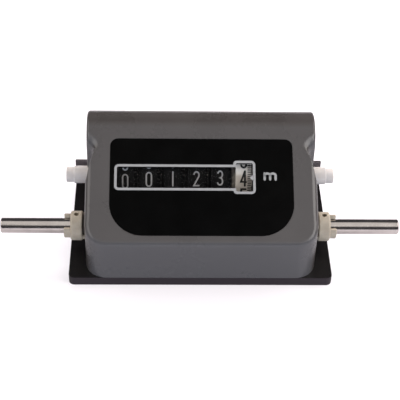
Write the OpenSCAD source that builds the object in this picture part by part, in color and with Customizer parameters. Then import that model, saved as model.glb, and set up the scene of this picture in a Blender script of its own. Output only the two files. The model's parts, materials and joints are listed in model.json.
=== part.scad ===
// Base-mounted mechanical length counter with a through drive shaft and six number wheels.
// X runs along the shafts, Y from the front edge to the back, Z up. Millimetres and degrees.
// The origin is at the middle of the base plate's underside.

/* [Base plate] */
// Width of the plate on each side of the housing
base_side = 7.5; // [5:0.25:11.5]
// Depth of the base plate, front to back
base_d = 70; // [69:0.5:80]
// Thickness of the base plate
base_t = 4.5; // [3.5:0.1:6]
// Radius of the plate's corners, seen from above
base_corner_r = 2.5; // [1:0.5:5]
// Top of the upstand along the plate's back edge, above the floor
upstand_top = 16.5; // [14:0.5:20]
// Chamfer along the upstand's top back edge
upstand_chamfer = 3.5; // [1:0.25:3.75]
// Distance from the frame's plates in to the tapped mounting holes
mount_in = 8.5; // [7.5:0.5:15.5]
// Distance that the tapped mounting holes keep from the ends of the housing, front to back
mount_margin = 10.5; // [10.5:0.5:12.5]
// Radius of the tapped mounting holes
mount_hole_r = 1.65; // [1.25:0.05:2.1]
// Radius of the bosses round the mounting holes
mount_boss_r = 5; // [3.5:0.25:5]
// Height of those bosses above the plate
mount_boss_h = 3.5; // [2:0.25:3.75]

/* [Housing] */
// Room between each of the frame's plates and the housing's outside
case_side = 8; // [6.75:0.25:9.5]
// Depth of the plate behind the housing
back_w = 5; // [4:0.25:6]
// Thickness of the housing's walls
wall = 2.5; // [2:0.1:2.8]
// Height of the crease where the front wall meets the sloping face
crease_z = 25.7; // [25:0.1:28]
// Slope of the face above the horizontal
slope = 29; // [28:0.25:31]
// Radius of the crest over the back wall
crest_r = 11.5; // [9:0.25:13]
// Radius of the crease
crease_r = 2; // [0.5:0.25:4]
// Radius of the front corners, seen from above
front_corner_r = 9.5; // [4:0.25:11]
// Radius of the back corners, seen from above
back_corner_r = 3; // [2:0.25:5]
// Radius of the long edges between the face and the sides
edge_r = 3; // [1:0.25:5]
// Deepest cut of the thumb scoops above the reset stubs
scoop_depth = 5; // [3:0.25:5.25]
// Length of each scoop's ramp, from the side surface to its deepest line
scoop_ramp = 8.3; // [6:0.1:10]

/* [Front panel] */
// Distance from the housing's sides to the black panel
panel_side = 10.9; // [7.5:0.1:13.5]
// Height of the panel along the slope
panel_h = 45; // [42:0.5:48]
// Distance up the slope from the crease to the panel's lower edge
panel_low = 4; // [3:0.25:6]
// Thickness of the panel
panel_t = 1.6; // [1.2:0.1:1.8]
// How far the panel stands proud of the face
panel_proud = 0.2; // [0:0.05:0.4]
// Radius of the panel's upper corners
panel_top_r = 3.5; // [1:0.25:8]
// Radius of the panel's lower corners
panel_low_r = 15; // [6:0.5:18]
// Window height along the slope, at the black wheels
window_h = 9.9; // [8:0.1:11]
// Window height along the slope, at the white wheel
units_window_h = 13.3; // [12:0.1:14.5]
// Width of the printed line round the window
outline_w = 1.25; // [0.6:0.05:1.6]
// Thickness of that print
outline_t = 0.12; // [0.08:0.02:0.3]
// Length of the pointer that reads the scale
pointer_l = 1.55; // [1:0.05:2]

/* [Number wheels] */
// Length of the frame that gears and spacers take up beside the row of wheels
gear_room = 34; // [33:0.5:35]
// Distance from the middle of the units wheel to the right-hand plate's outside
units_in = 24.4; // [23.5:0.1:25.5]
// Outside radius of the wheels
wheel_r = 13.2; // [12.6:0.1:13.3]
// Gap between the rims of neighbouring wheels
wheel_gap = 3.4; // [3.2:0.1:3.8]
// Thickness of the rim
rim_t = 1.3; // [0.9:0.1:1.6]
// Thickness of the web
web_t = 1.4; // [1:0.1:2]
// Radius of the hub
hub_r = 5; // [4.5:0.1:5.4]
// Distance from the wheels' axis back to the housing's outside
pinion_room = 22.3; // [21.5:0.1:23]
// Distance from the wheels up to the housing's sloping face
face_gap = 5.49; // [5:0.01:6]
// Direction in which the wheels are read, above the horizontal
read_angle = 38.5; // [34:0.5:42]
// Number that the wheels show
reading = 1234; // [0:1:9999]

/* [Transfer pinions] */
// Module of the transfer teeth
transfer_m = 1.1; // [1.08:0.01:1.12]
// Teeth in a number wheel's ring
ring_teeth = 20; // [20:1:20]
// Teeth in a transfer pinion
pinion_teeth = 8; // [8:2:8]
// Width of the tooth ring
ring_w = 1.35; // [1.1:0.05:1.45]
// Direction of the pinion shaft from the wheel axis, below the horizontal
pinion_angle = 45; // [42:1:50]
// Radius of the pinion shaft
pinion_shaft_r = 1.5; // [1:0.1:1.5]

/* [Gear train] */
// Module of the gears
gear_m = 0.8; // [0.78:0.01:0.8]
// Teeth of the gear on the drive shaft
drive_teeth = 16; // [16:1:17]
// Teeth of the idler gear
idler_teeth = 14; // [13:1:14]
// Teeth of the gear on the lowest wheel
units_teeth = 32; // [32:1:33]
// Width of the gears
gear_w = 3; // [2:0.25:4]
// Radius of the rod that the idler gear turns on
idler_rod_r = 2; // [1.5:0.1:2.2]

/* [Drive shaft and bushes] */
// Radius of the drive shaft
shaft_r = 3.5; // [3:0.05:3.6]
// Length of the drive shaft
shaft_l = 180; // [150:1:220]
// Distance from the wheels' axis forward to the drive shaft
shaft_fore = 21.2; // [20.7:0.1:21.7]
// Distance from the wheels' axis down to the drive shaft
shaft_drop = 12; // [11.6:0.1:12.3]
// Chamfer on the shaft's ends
shaft_chamfer = 0.5; // [0.2:0.1:1]
// Radius of a bush's barrel
barrel_r = 5; // [4.6:0.05:5.1]
// Radius of a bush's flange
flange_r = 6.65; // [6:0.05:7.5]
// Width of a bush's flange
flange_w = 5.4; // [4:0.1:7]
// Gap between the flange and the housing's side
flange_gap = 2; // [1:0.1:3]
// Outside radius of the two claws
claw_r = 5.45; // [5:0.05:6]
// Length of the claws beyond the flange
claw_l = 3.2; // [2:0.1:5]
// Angle that each claw spans
claw_span = 90; // [50:5:120]
// Direction of the front claw, below the horizontal
claw_angle = 14; // [0:1:45]

/* [Reset shaft] */
// Radius of the reset shaft
reset_r = 3; // [2.6:0.05:3.1]
// Radius of a reset stub beside the housing
stub_r = 4; // [3.7:0.05:4.3]
// Radius of a reset stub at its end
stub_end_r = 3.5; // [3.2:0.05:3.7]
// Length of each white stub outside the housing
stub_out = 9.7; // [7.5:0.1:13.5]
// Length of the thinner end of each stub
stub_end_l = 3.6; // [2:0.1:6]
// Radius of the detent disc
detent_r = 8; // [7:0.1:9]
// Width of the detent disc
detent_w = 2.5; // [1.5:0.1:4]

/* [Frame] */
// Distance over the outside faces of the two side plates
frame_w = 87; // [86:0.2:87.4]
// Thickness of the side plates
plate_t = 1.5; // [1:0.1:2]
// Radius of the tie bars
tie_r = 2.25; // [2:0.05:2.5]
// Radius of the screws' threads
screw_r = 1.5; // [1.25:0.05:1.6]

/* [Clearances] */
// Play of a shaft in its bore, on the radius
running = 0.05; // [0.02:0.01:0.09]
// Play between pieces that pass each other
free_gap = 0.3; // [0.25:0.05:0.4]
// Play round what passes through the housing
pass_gap = 0.4; // [0.3:0.05:0.6]

/* [Hidden] */
$fn = 64;

// Number of wheels
wheel_count = 6;

// Widths that follow the frame's
case_w = frame_w + 2 * case_side;
base_w = case_w + 2 * base_side;
panel_w = case_w - 2 * panel_side;
stub_span = case_w + 2 * stub_out;
mount_dx = frame_w - 2 * mount_in;
wheel_pitch = (frame_w - gear_room) / (wheel_count - 1);
wheel_w = wheel_pitch - wheel_gap;
units_x = frame_w / 2 - units_in;

// Depths and heights that follow the base plate's depth and the housing's slope
case_d = base_d - back_w;
mount_dy = case_d - 2 * mount_margin;
axis_back = case_d - pinion_room;
axis_z = crease_z + axis_back * tan(slope) - (wheel_r + face_gap) / cos(slope);
shaft_back = axis_back - shaft_fore;
shaft_z = axis_z - shaft_drop;

// Places along Y and Z
front_y = -base_d / 2;
axis_y = front_y + axis_back;
shaft_y = front_y + shaft_back;
pinion_c = transfer_m * (ring_teeth + pinion_teeth) / 2;
pinion_y = axis_y + pinion_c * cos(pinion_angle);
pinion_z = axis_z - pinion_c * sin(pinion_angle);
foot_y0 = front_y + 9.5;
foot_l = case_d - 16.5;
tie_front = [foot_y0, base_t + 6.5];
tie_back = [front_y + case_d - 8, axis_z + 13];
crest_y = case_d - crest_r;
crest_z = crease_z + crest_y * tan(slope) - crest_r / cos(slope);

// Places along X
case_x = case_w / 2;
frame_x = frame_w / 2;
flange_x = case_x + flange_gap;
hub_half = (wheel_pitch - free_gap) / 2;
gear_x = units_x + hub_half;
gear_hub_w = 2;
stub_in_x = frame_x + 1;
reset_half = stub_span / 2 - 4.2;
bush_in_x = frame_x - plate_t - 0.5;

// Screws that hold the frame down and the housing on
foot_screw_x = frame_x + 2.8;
foot_screw_y = [foot_y0 + 4.5, foot_y0 + foot_l - 4];
housing_screw_x = 20;
housing_screw_z = base_t + 5.5;
head_r = 2.7;
head_h = 1.6;
slot_w = 0.7;

// The idler gear's centre lies below the line from the drive shaft to the wheel axis
gear_line = [axis_y - shaft_y, axis_z - shaft_z];
gear_line_l = norm(gear_line);
idler_c1 = gear_m * (drive_teeth + idler_teeth) / 2;
idler_c2 = gear_m * (idler_teeth + units_teeth) / 2;
idler_a = (gear_line_l * gear_line_l + idler_c1 * idler_c1 - idler_c2 * idler_c2) / (2 * gear_line_l);
idler_b = sqrt(idler_c1 * idler_c1 - idler_a * idler_a);
gear_dir = gear_line / gear_line_l;
idler_y = shaft_y + gear_dir[0] * idler_a + gear_dir[1] * idler_b;
idler_z = shaft_z + gear_dir[1] * idler_a - gear_dir[0] * idler_b;

// Angles about the shafts run from +Y towards +Z
pinion_dir = -pinion_angle;
read_dir = 180 - read_angle;
drive_to_idler = atan2(idler_z - shaft_z, idler_y - shaft_y);
idler_to_units = atan2(axis_z - idler_z, axis_y - idler_y);

// Tooth proportions, in modules
addendum = 0.85;
dedendum = 1.15;
tooth_share = 0.43;
pressure_angle = 20;

// Number wheel details
sleeve_t = 1.3;
ring_root_r = transfer_m * (ring_teeth / 2 - dedendum);
carry_tip_r = pinion_c - transfer_m * (pinion_teeth / 2 + addendum) - free_gap;
carry_root_r = carry_tip_r - 1.1;
carry_dir = pinion_dir + 342 - read_dir;
pawl_from = 200;
pawl_to = 320;

// Front panel details
recess_t = panel_t - panel_proud;
window_v = face_v(read_angle);
window_side = 0.3;
window_x0 = wheel_x(0) - wheel_w / 2;
units_x0 = units_x - wheel_w / 2 - window_side;
units_x1 = units_x + wheel_w / 2 + window_side;
window_r = 0.8;

// Digit shown by wheel i, with wheel 0 at the left
function digit(i) = floor(reading / pow(10, wheel_count - 1 - i)) % 10;

// Middle of wheel i along X
function wheel_x(i) = units_x - (wheel_count - 1 - i) * wheel_pitch;

// Turn of wheel i from the position in which it shows nought
function wheel_turn(i) = read_dir - 36 * digit(i);

// Distance up the slope at which a line from the wheel axis, raised by angle a, meets the face
function face_v(a) =
    let(rise = crease_z + axis_back * tan(slope) - axis_z)
    let(reach = rise / (sin(a) + cos(a) * tan(slope)))
    (axis_back - reach * cos(a)) / cos(slope);

// Turn that puts gear b in mesh with gear a, where theta points from a's centre to b's
function mesh_turn(theta, teeth_a, turn_a, teeth_b) =
    theta + 180 + 180 / teeth_b - (turn_a - theta) * teeth_a / teeth_b;

// Involute function in degrees
function inv(a) = tan(a) * 180 / PI - a;

// Half the angle that a tooth fills at radius r
function half_tooth(r, teeth, m) =
    let(pitch_r = m * teeth / 2)
    let(base_r = pitch_r * cos(pressure_angle))
    tooth_share * 180 / teeth + inv(pressure_angle) - inv(acos(base_r / max(r, base_r)));

// Outline of a gear, with a tooth on the +X side
function gear_points(teeth, m) =
    let(pitch_r = m * teeth / 2)
    let(radii = [pitch_r - dedendum * m, pitch_r * cos(pressure_angle), pitch_r, pitch_r + addendum * m])
    [for (i = [0:teeth - 1], k = [0:7])
        let(r = radii[k < 4 ? k : 7 - k])
        let(side = k < 4 ? -1 : 1)
        let(a = i * 360 / teeth + side * half_tooth(r, teeth, m))
        [r * cos(a), r * sin(a)]];

// Outline of a ring sector from angle a0 to a1
function sector_points(r0, r1, a0, a1, steps = 8) = concat(
    [for (i = [0:steps]) let(a = a0 + (a1 - a0) * i / steps) [r1 * cos(a), r1 * sin(a)]],
    [for (i = [0:steps]) let(a = a1 + (a0 - a1) * i / steps) [r0 * cos(a), r0 * sin(a)]]);

// Turns a flat shape or an upright one so that its Z runs along X from the given point
module along_x(x, y, z) {
    translate([x, y, z]) rotate([90, 0, 90]) children();
}

// A round bar along X between two places
module bar_x(x0, x1, y, z, r) {
    along_x(x0, y, z) cylinder(r = r, h = x1 - x0);
}

// Draws its children and their mirror image on the left
module both_sides() {
    children();
    mirror([1, 0, 0]) children();
}

// A rectangle from corner to corner with its own radius at the front and at the back
module rounded_plan(half_w, y0, y1, r0, r1) {
    difference() {
        translate([-half_w, y0]) square([2 * half_w, y1 - y0]);
        for (side = [-1, 1]) {
            corner_cut([side * half_w, y0], [side, -1], r0);
            corner_cut([side * half_w, y1], [side, 1], r1);
        }
    }
}

// What a rounded corner leaves out, at point p with its outward directions in dir
module corner_cut(p, dir, r) {
    translate(p) difference() {
        translate([dir[0] > 0 ? -r : -1, dir[1] > 0 ? -r : -1]) square(r + 1);
        translate([-dir[0] * r, -dir[1] * r]) circle(r = r);
    }
}

// What a rounded corner of any angle leaves out, between directions a0 and a1 from its centre
module round_off(centre, r, a0, a1) {
    mid = (a0 + a1) / 2;
    reach = (r + 1) / cos((a1 - a0) / 2) + 3;
    translate(centre) difference() {
        polygon([
            [0, 0], [(r + 1) * cos(a0), (r + 1) * sin(a0)], [reach * cos(mid), reach * sin(mid)],
            [(r + 1) * cos(a1), (r + 1) * sin(a1)]
        ]);
        circle(r = r);
    }
}

// The housing's outline seen from the side, drawn in Y and Z and moved inwards by inset
module side_outline(inset) {
    bottom = inset > 0 ? base_t - 1 : base_t;
    face_z = crease_z - inset / cos(slope);
    fold_r = max(crease_r - inset, 0.5);
    fold_y = inset + fold_r;
    fold_z = face_z + fold_y * tan(slope) - fold_r / cos(slope);
    difference() {
        polygon([
            [inset, bottom], [inset, face_z + inset * tan(slope)],
            [case_d - inset, face_z + (case_d - inset) * tan(slope)], [case_d - inset, bottom]
        ]);
        round_off([crest_y, crest_z], crest_r - inset, 0, 90 + slope);
        round_off([fold_y, fold_z], fold_r, 90 + slope, 180);
    }
}

// Places its children on the sloping face: X across, Y up the slope, Z out of the face
module on_face() {
    translate([0, front_y, crease_z]) rotate([slope, 0, 0]) children();
}

// The housing's form with square side edges, moved inwards by inset
module case_block(inset) {
    beyond = 5;
    intersection() {
        along_x(-case_x - beyond, front_y, 0) linear_extrude(case_w + 2 * beyond) side_outline(inset);
        linear_extrude(2 * base_d) rounded_plan(
            case_x - inset, front_y + inset, front_y + case_d - inset,
            max(front_corner_r - inset, 0.5), max(back_corner_r - inset, 0.5));
    }
}

// The housing's solid form, with the edges of its face and its crest rounded
module case_form() {
    long = 2 * base_d;
    skin = 0.02;
    intersection() {
        case_block(0);
        on_face() rotate([90, 0, 0]) translate([0, 0, -long]) linear_extrude(2 * long)
            rounded_plan(case_x + skin, -long, skin, 0.5, edge_r);
        translate([0, base_d, 0]) rotate([90, 0, 0]) linear_extrude(long)
            rounded_plan(case_x + skin, -1, crest_z + crest_r + skin, 0.5, edge_r);
    }
}

// The thumb scoop above the right-hand reset stub, grown by skin
module scoop(skin) {
    tip_r = 1.5;
    half_w = stub_r + 4 + skin;
    deep_y = axis_y - 3;
    ramp = scoop_ramp / scoop_depth;
    intersection() {
        linear_extrude(2 * base_d) hull() {
            translate([case_x - scoop_depth + tip_r, deep_y]) circle(r = tip_r + skin, $fn = 32);
            translate([case_x + 6, deep_y - scoop_ramp - 6 * ramp]) circle(r = 0.1 + skin, $fn = 16);
            translate([case_x + 6, axis_y + 5]) circle(r = 0.1 + skin, $fn = 16);
        }
        along_x(0, axis_y - 5.5, axis_z) linear_extrude(2 * case_x)
            rounded_plan(half_w, -half_w, base_d, half_w - 1, 0.5);
    }
}

module base_plate() {
    rib_l = 60;
    sunk_r = head_r + 0.4;
    sunk_l = 2.3;
    chamfer_s = upstand_chamfer * sqrt(2);
    color([0.09, 0.085, 0.09]) difference() {
        union() {
            linear_extrude(base_t)
                rounded_plan(base_w / 2, front_y, -front_y, base_corner_r, base_corner_r);
            intersection() {
                linear_extrude(upstand_top)
                    rounded_plan(base_w / 2, front_y, -front_y, base_corner_r, base_corner_r);
                translate([-base_w / 2, front_y + case_d, 0])
                    cube([base_w, base_d - case_d, upstand_top]);
            }
            for (x = [-1, 1], y = [-1, 1])
                translate([x * mount_dx / 2, y * mount_dy / 2, 0])
                    cylinder(r = mount_boss_r, h = base_t + mount_boss_h);
            translate([-rib_l / 2, front_y + wall + free_gap, 0]) cube([rib_l, 1.5, base_t + 3]);
        }
        for (x = [-1, 1], y = [-1, 1])
            translate([x * mount_dx / 2, y * mount_dy / 2, -1])
                cylinder(r = mount_hole_r, h = base_t + mount_boss_h + 2);
        for (x = [-1, 1], y = foot_screw_y) translate([x * foot_screw_x, y, 0]) {
            translate([0, 0, -1]) cylinder(r = screw_r, h = base_t + 2);
            countersink(running);
        }
        for (x = [-1, 1])
            translate([x * housing_screw_x, -front_y + 1, housing_screw_z]) rotate([90, 0, 0]) {
                cylinder(r = screw_r, h = back_w + 2);
                cylinder(r = sunk_r, h = 1 + sunk_l);
            }
        translate([0, -front_y, upstand_top]) rotate([45, 0, 0])
            cube([base_w + 2, chamfer_s, chamfer_s], center = true);
    }
}

// A countersunk head that opens downwards at z = 0
module countersink(grow) {
    translate([0, 0, -grow]) cylinder(r1 = head_r + 1.5 * grow, r2 = screw_r, h = head_h + grow);
}

module housing() {
    boss_r = 3.2;
    boss_l = 3.5;
    color([0.33, 0.32, 0.32]) difference() {
        union() {
            difference() {
                case_form();
                difference() {
                    case_block(wall);
                    both_sides() scoop(wall);
                }
            }
            for (x = [-1, 1]) translate([x * housing_screw_x, 0, housing_screw_z])
                translate([0, front_y + case_d - wall / 2, 0]) rotate([90, 0, 0])
                    cylinder(r = boss_r, h = wall / 2 + boss_l);
        }
        on_face() translate([0, panel_low, -recess_t]) linear_extrude(recess_t + 10)
            panel_outline(free_gap / 3);
        on_face() translate([0, 0, -4 * wall]) linear_extrude(5 * wall)
            translate([window_x0 - 2, window_v - units_window_h / 2 - 2])
                square([units_x1 - window_x0 + 4, units_window_h + 4]);
        both_sides() {
            scoop(0);
            bar_x(frame_x, case_x + 5, shaft_y, shaft_z, barrel_r + pass_gap);
            bar_x(frame_x, case_x + 5, axis_y, axis_z, stub_r + pass_gap);
        }
        for (x = [-1, 1]) translate([x * housing_screw_x, 0, housing_screw_z])
            translate([0, front_y + case_d + 1, 0]) rotate([90, 0, 0])
                cylinder(r = screw_r, h = wall + boss_l);
    }
}

// The panel's outline, with its lower edge on y = 0
module panel_outline(grow) {
    rounded_plan(panel_w / 2 + grow, -grow, panel_h + grow, panel_low_r + grow, panel_top_r + grow);
}

// The window's outline, grown by grow
module window_shape(grow) {
    r = window_r + grow;
    translate([(window_x0 + units_x1) / 2, 0])
        rounded_plan((units_x1 - window_x0) / 2 + grow, window_v - window_h / 2 - grow,
            window_v + window_h / 2 + grow, r, r);
    translate([(units_x0 + units_x1) / 2, 0])
        rounded_plan((units_x1 - units_x0) / 2 + grow, window_v - units_window_h / 2 - grow,
            window_v + units_window_h / 2 + grow, r, r);
}

module front_panel() {
    color([0.03, 0.03, 0.03]) on_face() translate([0, 0, -recess_t]) linear_extrude(panel_t)
        difference() {
            translate([0, panel_low]) panel_outline(0);
            window_shape(0);
        }
}

module window_lens() {
    lens_t = 1.2;
    color([0.8, 0.85, 0.9, 0.35]) on_face() translate([0, 0, panel_proud - lens_t])
        linear_extrude(lens_t) window_shape(0);
}

module window_outline() {
    color([0.65, 0.65, 0.66]) on_face() translate([0, 0, panel_proud]) linear_extrude(outline_t) {
        difference() {
            window_shape(outline_w);
            window_shape(0);
        }
        polygon([
            [units_x1 + 0.1, window_v - pointer_l], [units_x1 + 0.1, window_v + pointer_l],
            [units_x1 - pointer_l, window_v]
        ]);
    }
}

// A side plate's outline, drawn in Y and Z
module plate_outline() {
    hull() {
        translate([axis_y, axis_z]) circle(r = 8, $fn = 32);
        translate([shaft_y, shaft_z]) circle(r = barrel_r + 3, $fn = 32);
        translate([pinion_y, pinion_z]) circle(r = pinion_shaft_r + 3, $fn = 32);
        translate(tie_front) circle(r = tie_r + 2.5, $fn = 32);
        translate(tie_back) circle(r = tie_r + 2.5, $fn = 32);
        translate([foot_y0, base_t]) square([foot_l, 2]);
    }
}

// The right-hand side plate, with its foot bent outwards
module side_plate() {
    foot_w = case_x - wall - free_gap - frame_x + plate_t;
    difference() {
        union() {
            along_x(frame_x - plate_t, 0, 0) linear_extrude(plate_t) plate_outline();
            translate([frame_x - plate_t, foot_y0, base_t]) cube([foot_w, foot_l, plate_t]);
        }
        bar_x(0, case_x, axis_y, axis_z, reset_r + running);
        bar_x(0, case_x, shaft_y, shaft_z, barrel_r);
        bar_x(0, case_x, pinion_y, pinion_z, pinion_shaft_r);
        bar_x(0, case_x, idler_y, idler_z, idler_rod_r);
        for (p = [tie_front, tie_back]) bar_x(0, case_x, p[0], p[1], screw_r);
        for (y = foot_screw_y) translate([foot_screw_x, y, 0]) cylinder(r = screw_r, h = base_t + 5);
    }
}

module left_side_plate() {
    color([0.62, 0.63, 0.64]) mirror([1, 0, 0]) side_plate();
}

module right_side_plate() {
    color([0.62, 0.63, 0.64]) side_plate();
}

// A tie bar between the side plates, tapped at both ends
module tie_bar(p) {
    color([0.6, 0.6, 0.6]) difference() {
        bar_x(-frame_x + plate_t, frame_x - plate_t, p[0], p[1], tie_r);
        both_sides() bar_x(frame_x - plate_t - 8, frame_x, p[0], p[1], screw_r);
    }
}

module front_tie_bar() {
    tie_bar(tie_front);
}

module back_tie_bar() {
    tie_bar(tie_back);
}

// A round-headed slotted screw whose head starts at z = 0 and whose thread runs down to -l
module slotted_screw(l) {
    translate([0, 0, -l]) cylinder(r = screw_r, h = l);
    difference() {
        cylinder(r = head_r, h = head_h);
        translate([-head_r - 1, -slot_w / 2, head_h / 2]) cube([2 * head_r + 2, slot_w, head_h]);
    }
}

module tie_bar_screws() {
    color([0.7, 0.7, 0.68]) both_sides() for (p = [tie_front, tie_back])
        along_x(frame_x, p[0], p[1]) slotted_screw(plate_t + 6);
}

module frame_screws() {
    color([0.7, 0.7, 0.68]) both_sides() for (y = foot_screw_y)
        translate([foot_screw_x, y, 0]) difference() {
            union() {
                cylinder(r = screw_r, h = base_t + plate_t + 1);
                countersink(0);
            }
            translate([-head_r - 1, -slot_w / 2, -1]) cube([2 * head_r + 2, slot_w, 1.6]);
        }
}

module housing_screws() {
    head_y = -front_y - 2.3;
    color([0.7, 0.7, 0.68]) for (x = [-1, 1])
        translate([x * housing_screw_x, head_y, housing_screw_z]) rotate([-90, 0, 0])
            slotted_screw(head_y - front_y - case_d + wall + 2);
}

// The drive shaft, with a groove at the tips of each bush's claws, where its free ends begin
module drive_shaft() {
    half_l = shaft_l / 2;
    groove_r = shaft_r - 0.5;
    groove_x0 = flange_x + flange_w + claw_l - 1;
    groove_x1 = groove_x0 + 1.5;
    half_outline = [
        [shaft_r, groove_x0], [groove_r, groove_x0], [groove_r, groove_x1], [shaft_r, groove_x1],
        [shaft_r, half_l - shaft_chamfer], [shaft_r - shaft_chamfer, half_l], [0, half_l]
    ];
    color([0.72, 0.7, 0.69]) along_x(0, shaft_y, shaft_z) rotate_extrude() polygon(concat(
        half_outline, [for (i = [len(half_outline) - 1:-1:0]) [half_outline[i][0], -half_outline[i][1]]]
    ));
}

// The right-hand bush: barrel, bayonet lugs, flange and two claws round the shaft
module bush() {
    lug_w = flange_gap - running;
    claw_in_r = shaft_r + pass_gap;
    color([0.8, 0.77, 0.7]) difference() {
        union() {
            bar_x(bush_in_x, flange_x, shaft_y, shaft_z, barrel_r);
            along_x(flange_x, shaft_y, shaft_z) rotate_extrude() polygon([
                [0, 0], [flange_r, 0], [flange_r, flange_w - 0.4], [flange_r - 0.4, flange_w], [0, flange_w]
            ]);
            along_x(flange_x + flange_w, shaft_y, shaft_z) linear_extrude(claw_l)
                for (turn = [0, 180]) rotate(180 + claw_angle + turn)
                    polygon(sector_points(claw_in_r, claw_r, -claw_span / 2, claw_span / 2));
            along_x(flange_x - lug_w, shaft_y, shaft_z) linear_extrude(lug_w)
                for (turn = [0, 180]) rotate(180 + claw_angle + turn)
                    polygon(sector_points(barrel_r - 0.5, flange_r - 0.35, -12, 12));
        }
        bar_x(0, shaft_l, shaft_y, shaft_z, shaft_r + running);
        translate([flange_x + flange_w / 2, shaft_y, shaft_z + flange_r - 2]) cylinder(r = 0.5, h = 5);
    }
}

module left_bush() {
    mirror([1, 0, 0]) bush();
}

module right_bush() {
    bush();
}

// A ring that keeps the drive shaft from sliding, inside the right-hand bush
module shaft_ring() {
    ring_l = 1.2;
    color([0.35, 0.35, 0.36]) difference() {
        bar_x(bush_in_x - free_gap - ring_l, bush_in_x - free_gap, shaft_y, shaft_z, shaft_r + 2);
        bar_x(0, shaft_l, shaft_y, shaft_z, shaft_r);
    }
}

module left_shaft_ring() {
    mirror([1, 0, 0]) shaft_ring();
}

module right_shaft_ring() {
    shaft_ring();
}

// A spur gear with a hub on its right, bored through
module spur_gear(teeth, turn, bore_r, boss_r, boss_l) {
    difference() {
        union() {
            rotate(turn) linear_extrude(gear_w) polygon(gear_points(teeth, gear_m));
            cylinder(r = boss_r, h = gear_w + boss_l);
        }
        translate([0, 0, -1]) cylinder(r = bore_r, h = gear_w + boss_l + 2);
    }
}

idler_turn = mesh_turn(drive_to_idler, drive_teeth, drive_to_idler, idler_teeth);
units_turn = mesh_turn(idler_to_units, idler_teeth, idler_turn, units_teeth);

module drive_gear() {
    color([0.72, 0.58, 0.3]) along_x(gear_x, shaft_y, shaft_z)
        spur_gear(drive_teeth, drive_to_idler, shaft_r, shaft_r + 1.5, 3);
}

module idler_rod() {
    color([0.68, 0.68, 0.68]) bar_x(-frame_x, frame_x, idler_y, idler_z, idler_rod_r);
}

module idler_gear() {
    color([0.72, 0.58, 0.3]) along_x(gear_x, idler_y, idler_z)
        spur_gear(idler_teeth, idler_turn, idler_rod_r + running, idler_rod_r + 1.5, 1.5);
}

module units_gear() {
    color([0.72, 0.58, 0.3]) along_x(gear_x, axis_y, axis_z)
        spur_gear(units_teeth, units_turn, reset_r + running, hub_r, gear_hub_w);
}

module reset_shaft() {
    groove = 0.8;
    color([0.7, 0.69, 0.68]) difference() {
        bar_x(-reset_half, reset_half, axis_y, axis_z, reset_r);
        translate([wheel_x(0) - hub_half, axis_y - groove / 2, axis_z - reset_r - 1])
            cube([gear_x - wheel_x(0) + hub_half, groove, 1 + groove]);
    }
}

// The right-hand reset stub, pushed onto the shaft's end
module reset_stub() {
    end_x = stub_span / 2;
    soft = 0.4;
    color([0.86, 0.84, 0.83]) difference() {
        along_x(0, axis_y, axis_z) rotate_extrude() polygon([
            [0, stub_in_x], [stub_r, stub_in_x], [stub_r, end_x - stub_end_l],
            [stub_end_r, end_x - stub_end_l], [stub_end_r, end_x - soft],
            [stub_end_r - soft, end_x], [0, end_x]
        ]);
        bar_x(0, reset_half, axis_y, axis_z, reset_r);
    }
}

module left_reset_stub() {
    mirror([1, 0, 0]) reset_stub();
}

module right_reset_stub() {
    reset_stub();
}

// A sleeve on the reset shaft between two places along X
module spacer(x0, x1) {
    color([0.55, 0.56, 0.58]) difference() {
        bar_x(x0, x1, axis_y, axis_z, reset_r + 1.2);
        bar_x(x0 - 1, x1 + 1, axis_y, axis_z, reset_r);
    }
}

module left_spacer() {
    spacer(-frame_x + plate_t + free_gap, wheel_x(0) - hub_half - free_gap);
}

detent_x0 = gear_x + gear_w + gear_hub_w + free_gap;

module detent_disc() {
    notch = 1;
    color([0.6, 0.6, 0.62]) along_x(detent_x0, axis_y, axis_z) difference() {
        cylinder(r = detent_r, h = detent_w);
        translate([0, 0, -1]) cylinder(r = reset_r, h = detent_w + 2);
        rotate(tie_dir()) translate([detent_r, 0, -1]) cylinder(r = notch, h = detent_w + 2);
    }
}

module right_spacer() {
    spacer(detent_x0 + detent_w, frame_x - plate_t - free_gap);
}

// Direction and distance from the wheel axis to the back tie bar
function tie_dir() = atan2(tie_back[1] - axis_z, tie_back[0] - axis_y);
function tie_reach() = norm([tie_back[0] - axis_y, tie_back[1] - axis_z]);

// A leaf clipped round the back tie bar, with its nose just off the detent disc
module detent_spring() {
    leaf_t = 0.5;
    nose_r = 0.8;
    clip_r = tie_r + leaf_t;
    color([0.66, 0.66, 0.64]) along_x(detent_x0, axis_y, axis_z) rotate(tie_dir())
        linear_extrude(detent_w) {
            translate([tie_reach(), 0]) difference() {
                circle(r = clip_r);
                circle(r = tie_r);
                translate([0, -clip_r / 2]) square([2 * clip_r, clip_r]);
            }
            translate([detent_r + nose_r + free_gap, -leaf_t / 2])
                square([tie_reach() - tie_r - detent_r - nose_r - free_gap, leaf_t]);
            translate([detent_r + nose_r + free_gap, 0]) circle(r = nose_r);
        }
}

// A tube between two places along the wheel axis
module tube(r0, r1, z0, z1) {
    translate([0, 0, z0]) difference() {
        cylinder(r = r1, h = z1 - z0);
        translate([0, 0, -1]) cylinder(r = r0, h = z1 - z0 + 2);
    }
}

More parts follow.
